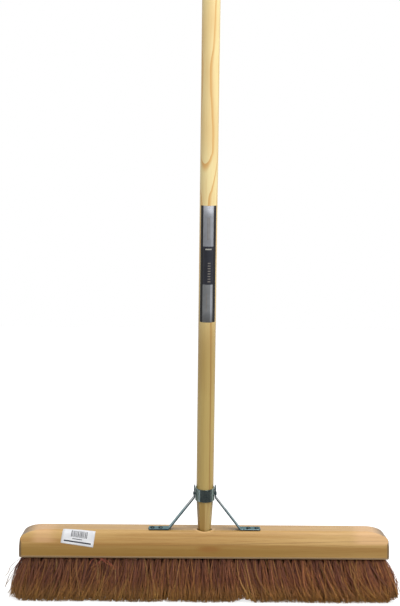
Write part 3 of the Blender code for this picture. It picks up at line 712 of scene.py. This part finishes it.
# %% How the fibres differ
# Spreads of random numbers: that of the locks of a tuft, then that of the fibres of a lock
LEAN_SPREAD = (8.0, 0.9)             # degrees
SIDE_BOW_SPREAD = (0.0034, 0.0004)   # metres
DEPTH_BOW_SPREAD = (0.0020, 0.0004)
DEPTH_DRIFT_SPREAD = (0.0020, 0.0005)
WAVE_SPREAD = 0.0016                 # of the locks alone

LOOSENESS = [0.0, 0.12, 0.25, 0.30], [0.8, 1.0, 1.3, 0.8]   # places, factors of the lean's spread
STRAYS, STRAY_LEAN = 0.02, 16        # a share of the fibres, and the spread of its lean
STEEPEST = 44                        # degrees
ROW_FAN = 0.0085                     # how far the tips of the outer rows stand out
END_FROM, END_BOW = 0.27, 0.0028     # the last tufts are bowed outwards
BROKEN, BROKEN_BY = 0.008, 0.010     # a share of the fibres, and the most that one has lost
UNEVEN = 0.0002                      # how far the other cut ends differ
LOCK_REACH, FIBRE_REACH = 0.90, 0.10  # shares of the tuft's half width
RIM_POWER, SPLAY = 0.35, 1.6         # how strongly locks keep to the rim, and fibres part

KINDS = [0.23, 0.36, 0.54, 0.74]     # the tones of locks, from dark to pale
KIND_SHARES = [0.27, 0.41, 0.25, 0.07]
TONE_SPREAD, STRAY_TONE = 0.07, 0.15
THINNEST, THICKEST = 0.6, 1.35       # factors of a fibre's width
print(f"locks lean apart by {LEAN_SPREAD[0]} degrees, a lock's fibres by {LEAN_SPREAD[1]}")

# %% Where a fibre stands and ends
def per_lock(numbers):
    """Numbers that are one for each lock, given to all of its fibres."""
    return np.repeat(numbers, FIBRES)


def varied(chance, count, spreads):
    """A random number for each fibre, most of which it shares with its lock."""
    locks, fibres = spreads
    return per_lock(chance.normal(0, locks, count // FIBRES)) + chance.normal(0, fibres, count)


def in_bundle(chance, count):
    """Where each fibre stands in its tuft at every ring, in x and y: most locks near the rim."""
    locks = count // FIBRES
    lock_turn = per_lock(chance.uniform(0, math.tau, locks))
    lock_out = per_lock(chance.uniform(0, 1, locks) ** RIM_POWER) * LOCK_REACH
    turn = chance.uniform(0, math.tau, count)
    out = np.sqrt(chance.uniform(0, 1, count)) * FIBRE_REACH
    splay = 1 + SPLAY * RINGS ** 2
    return [(lock_out * part(lock_turn))[:, None] + (out * part(turn))[:, None] * splay
            for part in (np.cos, np.sin)]


def cut_heights(chance, tip_x):
    """How high each cut end stands: as the trim is worn at its place, or where it broke."""
    count = len(tip_x)
    broken = chance.uniform(0, 1, count) < BROKEN
    short = np.abs(chance.normal(0, UNEVEN, count)) + broken * chance.uniform(0, BROKEN_BY, count)
    return np.interp(tip_x, TRIM_PLACES, TRIM_LIFTS) + short


print("given to a lock's fibres, 1 and 2 become", per_lock([1, 2]))

# %% Fibres that have worked loose
# Row, tuft, where the tip hangs, tone. Four stand out at the left end and three at the right,
# and a red-brown tangle has caught on the front of the brush
LOOSE = [(1, 0, (-0.3285, -0.014, 0.019), 0.12), (1, 0, (-0.3270, -0.024, 0.040), 0.20),
         (1, 1, (-0.3235, -0.020, 0.010), 0.16), (0, 0, (-0.3245, -0.030, 0.028), 0.24),
         (0, 44, (0.3235, -0.030, 0.018), 0.36), (1, 44, (0.3225, -0.020, 0.031), 0.40),
         (1, 43, (0.3240, -0.016, 0.010), 0.44),
         (0, 8, (-0.1510, -0.038, 0.0600), 0.00), (0, 9, (-0.1910, -0.039, 0.0630), 0.01),
         (0, 9, (-0.1480, -0.040, 0.0555), 0.00), (0, 10, (-0.1860, -0.038, 0.0575), 0.02),
         (0, 10, (-0.1800, -0.040, 0.0540), 0.30), (0, 8, (-0.1560, -0.039, 0.0640), 0.00)]
LOOSE_WIDTH = 2.0        # times the usual one, so that single fibres show
LOOSE_WAVE = 0.0022


def work_loose(row, paths, tone, thick):
    """Turns a few fibres of the row into loose ones, which leave the brush in an arc."""
    for number, (its_row, tuft, tip, shade) in enumerate(LOOSE):
        if its_row == row:
            fibre = tuft * LOCKS * FIBRES + number
            root = paths[fibre, 0].copy()
            arc = RINGS[:, None] ** np.array([0.62, 0.45, 1.05])
            paths[fibre] = root + (np.array(tip) - root) * arc
            paths[fibre, 1:-1, 0] += LOOSE_WAVE * np.sin(7 * RINGS[1:-1] + number)
            tone[fibre] = shade
            thick[fibre] = LOOSE_WIDTH


print(len(LOOSE), "loose fibres")

# %% The paths of a row's fibres
AGAINST = 0.10                       # the bow runs against the drift by this share of it
SOONER = [0.26, 0.285], [1.12, 0.88]  # places, powers: the last tufts turn outwards sooner
FLATTER = 0.8                        # a tuft is narrower from front to back


def fibre_paths(row, chance):
    """Each fibre's middle line, as an array of (fibre, ring, xyz), its tone and its thickness."""
    tufts = np.repeat(np.array(tuft_places(row)), LOCKS * FIBRES, axis=0)
    count = len(tufts)
    locks = count // FIBRES
    from_middle = np.abs(tufts[:, 0])
    in_x, in_y = in_bundle(chance, count)

    lean = np.interp(tufts[:, 0], LEAN_PLACES, LEAN_DEGREES)
    lean = lean + varied(chance, count, LEAN_SPREAD) * np.interp(from_middle, *LOOSENESS)
    stray = chance.uniform(0, 1, count) < STRAYS
    lean = lean + stray * chance.normal(0, STRAY_LEAN, count)
    drift_x = np.tan(np.radians(np.clip(lean, -STEEPEST, STEEPEST))) * TRIM
    side = tufts[:, 1] / (2 * ROW_PITCH)
    drift_y = side * ROW_FAN + varied(chance, count, DEPTH_DRIFT_SPREAD)
    bow_x = varied(chance, count, SIDE_BOW_SPREAD) - AGAINST * drift_x
    bow_x += np.sign(tufts[:, 0]) * (from_middle > END_FROM) * END_BOW
    bow_y = varied(chance, count, DEPTH_BOW_SPREAD)
    wave = per_lock(chance.normal(0, WAVE_SPREAD, locks))
    phase = per_lock(chance.uniform(0, math.tau, locks))

    tip_x = np.clip(tufts[:, 0] + in_x[:, -1] * (BUNDLE + OPENING) + drift_x, -REACH, REACH)
    tip_z = cut_heights(chance, tip_x)
    root_z = TRIM + 1 * MM           # inside its hole

    # All the lines at once: s runs from 0 at the root to 1 at the tip
    s = RINGS[None, :]
    paths = np.empty((count, len(RINGS), 3))
    reach = s ** np.interp(from_middle[:, None], *SOONER)
    bundle = BUNDLE + OPENING * s ** 0.6
    curve = np.sin(math.pi * s)
    ripple = np.sin(2 * math.pi * s + phase[:, None]) * s
    paths[:, :, 0] = tufts[:, :1] + in_x * bundle + drift_x[:, None] * reach \
        + bow_x[:, None] * curve + wave[:, None] * ripple
    paths[:, :, 1] = tufts[:, 1:] + in_y * bundle * FLATTER + drift_y[:, None] * reach \
        + bow_y[:, None] * curve + wave[::-1, None] * ripple
    paths[:, :, 2] = root_z + (tip_z - root_z)[:, None] * s
    paths[:, :, 0] = np.clip(paths[:, :, 0], -REACH, REACH)
    paths[:, :, 1] = np.clip(paths[:, :, 1], -DEPTH_REACH, DEPTH_REACH)
    tone = per_lock(chance.choice(KINDS, locks, p=KIND_SHARES))
    tone = np.clip(tone + chance.normal(0, TONE_SPREAD, count) + stray * STRAY_TONE, 0, 1)
    thick = chance.uniform(THINNEST, THICKEST, count)
    work_loose(row, paths, tone, thick)
    return paths, tone, thick


print("a fibre's path has", len(RINGS), "rings")

# %% Three-sided tubes and their texture map
SIDES = 3
FIBRE_WIDTH = 0.00060    # a real one is 0.35 mm; drawn thicker, so that fewer fill the brush
SWELL = np.array([0.85, 0.95, 1.0, 1.05, 1.05, 1.1, 1.2])    # the width's factor at each ring


def tube_points(paths, thick, chance):
    """Corners round each path, as an array of (fibre, ring, side, xyz)."""
    turned = chance.uniform(0, math.tau, len(paths))[:, None] \
        + math.tau / SIDES * np.arange(SIDES)
    radius = (FIBRE_WIDTH * thick / 2)[:, None] * SWELL[None, :]
    around = np.stack([np.cos(turned), np.sin(turned), np.zeros_like(turned)], axis=-1)
    return paths[:, :, None, :] + radius[:, :, None, None] * around[:, None, :, :]


def tube_faces(count):
    """Four corners for each face of a side, then three for each end."""
    number = np.arange(count * len(RINGS) * SIDES).reshape(count, len(RINGS), SIDES)
    following = np.roll(number, -1, axis=2)
    walls = np.stack([number[:, :-1], following[:, :-1], following[:, 1:], number[:, 1:]], -1)
    ends = [number[:, 0, ::-1], number[:, -1]]
    return walls.reshape(-1, 4).tolist() + [face for end in ends for face in end.tolist()]


def tube_map(count):
    """Texture places: a square cell for each fibre, its sides side by side, its ends above."""
    across = math.ceil(math.sqrt(count))
    cell = 1 / across
    corner = np.stack([np.arange(count) % across, np.arange(count) // across], -1) * cell
    step = np.linspace(0.05, 0.95, SIDES + 1)
    rung = np.linspace(0.04, 0.84, len(RINGS))
    flat = np.array([[[(left, low), (right, low), (right, high), (left, high)]
                      for left, right in zip(step, step[1:])]
                     for low, high in zip(rung, rung[1:])])
    maps = [(corner[:, None, None, None, :] + cell * flat[None]).reshape(-1, 2)]
    for left in (0.05, 0.55):
        triangle = np.array([(left, 0.88), (left + 0.4, 0.88), (left + 0.2, 0.97)])
        maps.append((corner[:, None, :] + cell * triangle[None]).reshape(-1, 2))
    return np.concatenate(maps)


print(len(tube_faces(1)), "faces for each fibre")

# %% The five rows
SEED = 11


def coir_row(row):
    """A row's fibres as one mesh, with each point's tone and its place along the fibre."""
    chance = np.random.default_rng(SEED + row)
    paths, tone, thick = fibre_paths(row, chance)
    points = tube_points(paths, thick, chance)
    mesh = bpy.data.meshes.new(f"coir_row_{row + 1}_fibres")
    mesh.from_pydata(points.reshape(-1, 3).tolist(), [], tube_faces(len(paths)))
    per_point = {"tone": np.repeat(tone, len(RINGS) * SIDES),
                 "along": np.tile(np.repeat(RINGS, SIDES), len(paths))}
    for name, values in per_point.items():
        mesh.attributes.new(name, "FLOAT", "POINT").data.foreach_set(
            "value", values.astype(np.float32))
    mesh.uv_layers.new(name="OFBake").data.foreach_set(
        "uv", tube_map(len(paths)).astype(np.float32).ravel())
    mesh.materials.append(COIR)
    mesh.shade_smooth()
    mesh.validate()
    piece = put(mesh.name, mesh)
    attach(piece, "root")
    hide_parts(f"coir_row_{row + 1}")
    low, high = points.min(axis=(0, 1, 2)), points.max(axis=(0, 1, 2))
    print(f"{piece.name}: {len(paths)} fibres, {len(mesh.polygons)} faces, {low} to {high}")
    return piece


for row in range(ROWS):
    coir_row(row)

# %% [markdown]
# ## Printed sheets
#
# A foil label is stuck along the handle and a small paper sticker on the stock. Both are flat
# sheets bent round wood, so one function makes either: a grid whose lines run along the edges of
# the printed areas, laid on the wood by a function that knows its surface, and thickened. Each
# printed area is then a set of whole faces with its own material, so its edge is crisp at any
# distance. The print itself is plain panels and bars.

# %% Laying a sheet on a surface
SHEET_THICKNESS = 0.12 * MM
LIFT = 0.03 * MM         # of the sheet's underside above the wood


def cuts(edges, step):
    """All the edges, with more lines between any two that are further apart than a step."""
    lines = [edges[0]]
    for low, high in zip(edges, edges[1:]):
        count = max(1, math.ceil((high - low) / step))
        lines += [low + (high - low) * i / count for i in range(1, count + 1)]
    return lines


print("4 mm steps between 0 and 10 mm:", [round(c, 2) for c in cuts([0, 10], 4)])

# %% A thin sheet
def lay_sheet(name, columns, rows, place, printed, inks):
    """A thin sheet: place gives the surface's point and normal, printed the ink of a face."""
    shape = bmesh.new()
    grid = []
    for v in rows:
        line = []
        for u in columns:
            point, normal = place(u, v)
            line.append(shape.verts.new(point + normal * (LIFT + SHEET_THICKNESS)))
        grid.append(line)
    for r in range(len(rows) - 1):
        for c in range(len(columns) - 1):
            face = shape.faces.new((grid[r][c], grid[r][c + 1], grid[r + 1][c + 1],
                                    grid[r + 1][c]))
            middle_u = (columns[c] + columns[c + 1]) / 2
            middle_v = (rows[r] + rows[r + 1]) / 2
            face.material_index = printed(middle_u, middle_v)
    mesh = as_mesh(name, shape)
    for ink in inks:
        mesh.materials.append(ink)
    mesh.shade_smooth()
    piece = put(name, mesh)
    thicken = piece.modifiers.new("thickness", "SOLIDIFY")
    thicken.thickness = SHEET_THICKNESS
    thicken.offset = -1.0
    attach(piece, "root")
    print(f"{name}: {len(mesh.polygons)} faces")
    return piece


# %% [markdown]
# ## The label's foil and the sticker's paper
#
# The label is a silvered plastic film with colours printed on it, half mirror and half matt, and
# the sticker is coated paper. A picture is the usual way to print a surface, but faces with a
# colour of their own stay crisp and need no picture. Every ink is one film with another colour:
# cloudy where hands have rubbed it, and finely scratched along its length, which breaks its gloss.

# %% Printed foil and paper
def printed_film(name, ink, worn, metallic, roughness):
    """A printed film with cloudy wear in its colour and fine scratches in its gloss."""
    film = new_finish(name, Metallic=metallic)
    place = add_node(film, "TexCoord", {}, "Object")
    clouds = add_node(film, "TexNoise", {"Vector": place, "Scale": 1 / 0.014, "Detail": 4.0})
    rubbed = add_node(film, "MapRange", {"Value": clouds, "From Min": 0.40, "From Max": 0.70})
    colour = add_node(film, "Mix", {"Factor": rubbed, "A": linear(ink), "B": linear(worn)},
                      **COLOURS)
    # Scratches are some hundredths of a millimetre wide; 0.3 mm here, so that they show
    scratches = stretched_noise(film, place, (1 / 0.0007, 1 / 0.0007, 1 / 0.020), 2.0)
    rough = add_node(film, "MapRange", {"Value": scratches, "To Min": roughness - 0.08,
                                        "To Max": roughness + 0.12})
    bump = add_node(film, "Bump", {"Height": scratches, "Strength": 0.1,
                                   "Distance": 0.02 * MM})
    connect(film, Base_Color=colour, Roughness=rough, Normal=bump)
    return film


# Name, colour, worn colour, metallic, roughness
FOILS = [("silver_foil", "9C9EA4", "8E9096", 0.40, 0.50),
         ("darker_silver_foil", "838587", "747678", 0.30, 0.60),
         ("painted_reflection_foil", "A6A9B0", "989BA1", 0.30, 0.50),
         ("black_printed_foil", "08070A", "100F12", 0.0, 0.65),
         ("navy_printed_foil", "25262F", "2E303A", 0.0, 0.50),
         ("pale_printed_line", "A9A79F", "96948E", 0.0, 0.50),
         ("brown_grey_printed_line", "7C7670", "6E6964", 0.0, 0.50)]
SILVER, DARKER_SILVER, PAINTED_REFLECTION, BLACK, NAVY, PALE, BROWN_GREY = range(len(FOILS))
FOIL_INKS = [printed_film(*foil) for foil in FOILS]
PAPER_INKS = [printed_film("white_paper", "DFE0E2", "D3D4D8", 0.0, 0.60),
              printed_film("grey_ink_on_paper", "38383E", "4A4A50", 0.0, 0.55)]
print(len(FOIL_INKS) + len(PAPER_INKS), "printed films")

# %% [markdown]
# ## The label on the handle
#
# The foil is wrapped round the front of the handle. It is black at both sides and silver between
# them, with a dark field across the middle and, to the right, a brighter strip that is a painted
# reflection of the key lamp. A place on it is an angle round the handle and a height along it, so
# the sheet bends exactly as the wood does.

# %% Where the foil label lies on the handle
LABEL_LOW, LABEL_HIGH = 0.3547, 0.5412    # along the handle
FIELD_LOW, FIELD_HIGH = 0.4160, 0.4770    # the dark field
LABEL_SPREAD = math.radians(58)           # to each side of the handle's front
PANEL_SPREAD = math.radians(35)           # the silver panel's half
# The brighter strip is a painted reflection of the key lamp
REFLECTION_FROM, REFLECTION_TO = math.radians(17), math.radians(29)   # a brighter strip on the panel


def on_handle(u, v):
    """The point and normal of the handle's surface at angle u from its front, v along it."""
    out = Vector((math.sin(u), -math.cos(u), 0))
    point = handle_frame @ (out * HANDLE_RADIUS + Vector((0, 0, v)))
    return point, handle_frame.to_3x3() @ out


def across(u):
    """An angle round the handle as a distance along its surface."""
    return u * HANDLE_RADIUS


print(f"the label is {(LABEL_HIGH - LABEL_LOW) / MM:.0f} mm high")

# %% The foil label's print
# The bars: from and to along the handle, from and to across it, and their ink
BARS = [(0.4870, 0.5230, -1.6 * MM, -0.7 * MM, BROWN_GREY),
        (0.4870, 0.5230, 0.5 * MM, 1.4 * MM, BROWN_GREY),
        (0.3730, 0.4020, -2.4 * MM, -1.5 * MM, BROWN_GREY),
        (0.4715, 0.4735, -4.6 * MM, 5.6 * MM, PALE)]
BARS += [(low, low + 1.6 * MM, -0.4 * MM, 4.0 * MM, BROWN_GREY)
         for low in np.arange(0.4200, 0.4500, 0.0042).tolist()]


def label_ink(u, v):
    """Black side strips, a silver panel with a painted reflection, a dark field, and plain bars.
    """
    if abs(u) > PANEL_SPREAD:
        return BLACK
    for low, high, first, last, ink in BARS:
        if low < v < high and first < across(u) < last:
            return ink
    if FIELD_LOW < v < FIELD_HIGH:
        return NAVY
    # Painted reflection of the key lamp
    if REFLECTION_FROM < u < REFLECTION_TO:
        return PAINTED_REFLECTION
    # A darker silver below the dark field
    return DARKER_SILVER if v < FIELD_LOW else SILVER


edges = {side * spread for side in (-1, 1) for spread in (PANEL_SPREAD, LABEL_SPREAD)}
edges |= {place / HANDLE_RADIUS for bar in BARS for place in bar[2:4]} | {REFLECTION_FROM, REFLECTION_TO}
columns = cuts(sorted(edges), math.radians(6))
levels = {LABEL_LOW, FIELD_LOW, FIELD_HIGH, LABEL_HIGH} | {v for bar in BARS for v in bar[:2]}
rows = cuts(sorted(levels), 0.02)
lay_sheet("handle_label", columns, rows, on_handle, label_ink, FOIL_INKS)

# %% [markdown]
# ## The sticker on the stock
#
# A small sheet of paper is stuck a little askew over the foot of the stock's shoulder. The
# stock's front is a flat, then a slanted flat, then a round to the top. One function follows all
# three, so the paper bends where the wood does.

# %% The stock's front under the paper sticker
STICKER_WIDTH, STICKER_HEIGHT = 0.0538, 0.0270
STICKER_X, STICKER_UP = -0.2075, 0.0113    # its middle, up from where the shoulder starts
STICKER_TURN = math.radians(-8.0)

# The shoulder of the stock: a flat that slants in by 12 degrees, then a round to the top
SLANT = math.radians(12)
SLANTED_FLAT = 0.0152
ROUND = 0.0090
foot_z = STOCK_TOP - SLANTED_FLAT * math.cos(SLANT) - ROUND * (1 - math.sin(SLANT))
round_middle = Vector((0, -STOCK_WIDTH / 2 + SLANTED_FLAT * math.sin(SLANT)
                       + ROUND * math.cos(SLANT), STOCK_TOP - ROUND))
print(f"the shoulder's foot is at z = {foot_z / MM:.1f} mm")


def on_shoulder(u, v):
    """The point and normal of the stock's front, for a place on the turned sticker."""
    x = STICKER_X + u * math.cos(STICKER_TURN) - v * math.sin(STICKER_TURN)
    up = STICKER_UP + u * math.sin(STICKER_TURN) + v * math.cos(STICKER_TURN)
    if up <= 0:
        return Vector((x, -STOCK_WIDTH / 2, foot_z + up)), Vector((0, -1, 0))
    if up <= SLANTED_FLAT:
        point = Vector((x, -STOCK_WIDTH / 2 + up * math.sin(SLANT), foot_z + up * math.cos(SLANT)))
        return point, Vector((0, -math.cos(SLANT), math.sin(SLANT)))
    angle = min(SLANT + (up - SLANTED_FLAT) / ROUND, math.pi / 2)
    further = max(0.0, up - SLANTED_FLAT - ROUND * (math.pi / 2 - SLANT))
    out = Vector((0, -math.cos(angle), math.sin(angle)))
    return Vector((x, further, 0)) + round_middle + out * ROUND, out


print("the sticker's middle lies at", [round(c, 3) for c in on_shoulder(0, 0)[0]])

# %% The paper sticker's print
# The stripes and lines: left, right, low, high
STRIPES = []
left = -0.0118
chance = np.random.default_rng(3)
while left < 0.0150:
    width = chance.choice([0.5, 0.8, 1.2]) * MM
    STRIPES.append((left, left + width, -0.0010, 0.0098))
    left += width + chance.choice([0.5, 0.8, 1.1]) * MM
RULES = [(-0.0090, 0.0070, -0.0046, -0.0034), (-0.0225, 0.0225, -0.0098, -0.0074)]


def sticker_ink(u, v):
    """White paper with plain stripes over two plain lines."""
    return int(any(left < u < right and low < v < high
                   for left, right, low, high in STRIPES + RULES))


half_width, half_height = STICKER_WIDTH / 2, STICKER_HEIGHT / 2
edges = {-half_width, half_width} | {u for bar in STRIPES + RULES for u in bar[:2]}
levels = {-half_height, half_height} | {v for bar in STRIPES + RULES for v in bar[2:]}
lay_sheet("stock_sticker", cuts(sorted(edges), 0.006), cuts(sorted(levels), 0.0015), on_shoulder,
          sticker_ink, PAPER_INKS)

# %% [markdown]
# ## The studio
#
# The broom stands on a plain pale floor in front of white. What the camera sees as white isn't
# light on the broom: the world is white only for the camera and for reflections, and lights the
# broom at a lower, even level. The floor is a grey surface that catches the shadow, with just
# enough glow added for the camera to bring it to white where no shadow falls.

# %% The world
world = bpy.data.worlds.new("white_studio")
bpy.context.scene.world = world
world.use_nodes = True
WHITE = (1, 1, 1, 1)
FILL = 0.60              # how much light comes evenly from all round


def seen_directly(finish):
    """1 for rays from the camera and from reflections, 0 for the light that falls on things.

    It takes a material or the world, because both have nodes.
    """
    rays = add_node(finish, "LightPath", {}).node.outputs
    either = add_node(finish, "Math", {0: rays["Is Camera Ray"], 1: rays["Is Glossy Ray"]},
                      operation="MAXIMUM")
    return add_node(finish, "Math", {0: either, 1: rays["Is Transmission Ray"]},
                    operation="MAXIMUM")


level = add_node(world, "MapRange", {"Value": seen_directly(world), "To Min": FILL})
background = world.node_tree.nodes["Background"]
background.inputs["Color"].default_value = WHITE
world.node_tree.links.new(level, background.inputs["Strength"])
print("even light from all round:", FILL)

# %% The floor
FLOOR_GREY = 0.5
GLOW = 0.77
HALF = 8.0               # half of the floor's side, in metres
BELOW = 0.2 * MM         # so that the coir's tips don't touch it

corners = [(-HALF, -HALF, -BELOW), (HALF, -HALF, -BELOW), (HALF, HALF, -BELOW),
           (-HALF, HALF, -BELOW)]
floor_mesh = bpy.data.meshes.new("studio_floor")
floor_mesh.from_pydata(corners, [], [(0, 1, 2, 3)])
floor = put("studio_floor", floor_mesh)
# Studio paper is matt: it takes a soft shadow and mirrors nothing
paper = new_finish("pale_studio_paper", Roughness=1.0, Specular_IOR_Level=0.0,
                   Emission_Color=WHITE)
grain = add_node(paper, "TexNoise", {"Scale": 300.0})
speckle = add_node(paper, "MapRange", {"Value": grain, "To Min": FLOOR_GREY * 0.98,
                                       "To Max": FLOOR_GREY * 1.02})
glow = add_node(paper, "Math", {0: seen_directly(paper), 1: GLOW}, operation="MULTIPLY")
connect(paper, Base_Color=speckle, Emission_Strength=glow)
floor_mesh.materials.append(paper)
print("the floor is", 2 * HALF, "m square")

# %% [markdown]
# ## The lamps
#
# Most of the light is the even light from all round, which keeps both sides of the handle
# nearly as bright as its front. Two big soft boxes add a direction: one in front on the right,
# far enough away to light the handle's top about as much as its foot, and one high overhead for
# the stock's top and shoulder. Closer lamps would be softer still, but they burn out the top of
# the handle. Behind the camera the room is dark. Steel shows that as its dark front, so a dark
# card stands there, and only reflections can see it.

# %% Two soft boxes and a dark card
def soft_box(name, size, watts, place, target):
    """A square area lamp of a size in metres, aimed from a place at a target."""
    lamp = bpy.data.lights.new(name, "AREA")
    lamp.shape = "SQUARE"
    lamp.size = size
    lamp.energy = watts
    holder = put(name, lamp)
    holder.location = place
    aim = Vector(target) - Vector(place)
    holder.rotation_euler = aim.to_track_quat("-Z", "Y").to_euler()
    return holder


soft_box("key_soft_box", 1.8, 46, (1.15, -2.30, 1.95), (0, -0.20, 0.8))
soft_box("top_soft_box", 1.4, 33, (0.45, -1.05, 3.10), (0, 0, 0.1))

CARD_LEFT, CARD_RIGHT = math.radians(-64), math.radians(78)
CARD_OUTLINE = [(0.12, 0.002), (3.2, 0.002), (3.2, 1.9)]   # distance in front, height
card_turns = np.linspace(CARD_LEFT, CARD_RIGHT, 25)
card_points = [(out * math.sin(a), -out * math.cos(a), z) for a in card_turns
               for out, z in CARD_OUTLINE]
tall = len(CARD_OUTLINE)
card_faces = [(k, k + 1, k + tall + 1, k + tall) for strip in range(len(card_turns) - 1)
              for k in range(strip * tall, (strip + 1) * tall - 1)]
card_mesh = bpy.data.meshes.new("dark_card")
card_mesh.from_pydata(card_points, [], card_faces)
card = put("dark_card", card_mesh)
# Felt is the dullest cloth there is, so the card shows as an even dark
felt = new_finish("dark_felt", Roughness=1.0, Specular_IOR_Level=0.0)
nap = add_node(felt, "TexNoise", {"Scale": 90.0})
shade = add_node(felt, "MapRange", {"Value": nap, "To Min": 0.15, "To Max": 0.20})
connect(felt, Base_Color=shade)
card_mesh.materials.append(felt)
card.visible_camera = False
card.visible_diffuse = False
card.visible_shadow = False
print("two soft boxes and a card")

# %% [markdown]
# ## The camera
#
# The photograph was taken from just above the stock's height, a little to the left, from about
# two metres, with a long lens. The camera's axes are built from its turn, tilt and roll.

# %% The camera
IMAGE_HEIGHT = 606
FOCAL_PIXELS = 1300
turn, tilt, roll = math.radians(0.697), math.radians(2.061), math.radians(0.550)

lens = bpy.data.cameras.new("camera")
lens.sensor_fit = "VERTICAL"
lens.sensor_height = 36
lens.lens = 36 * FOCAL_PIXELS / IMAGE_HEIGHT
camera = put("camera", lens)
forward = Vector((math.sin(turn) * math.cos(tilt), math.cos(turn) * math.cos(tilt),
                  -math.sin(tilt)))
level_right = Vector((math.cos(turn), -math.sin(turn), 0))
level_up = level_right.cross(forward)
right = level_right * math.cos(roll) + level_up * math.sin(roll)
up = level_up * math.cos(roll) - level_right * math.sin(roll)
camera.matrix_world = Matrix.Translation((-0.0369, -2.1501, 0.5688)) @ Matrix(
    (right, up, -forward)).transposed().to_4x4()
bpy.context.scene.camera = camera
bpy.context.scene.view_settings.view_transform = "Standard"
print(f"a {lens.lens:.1f} mm lens")
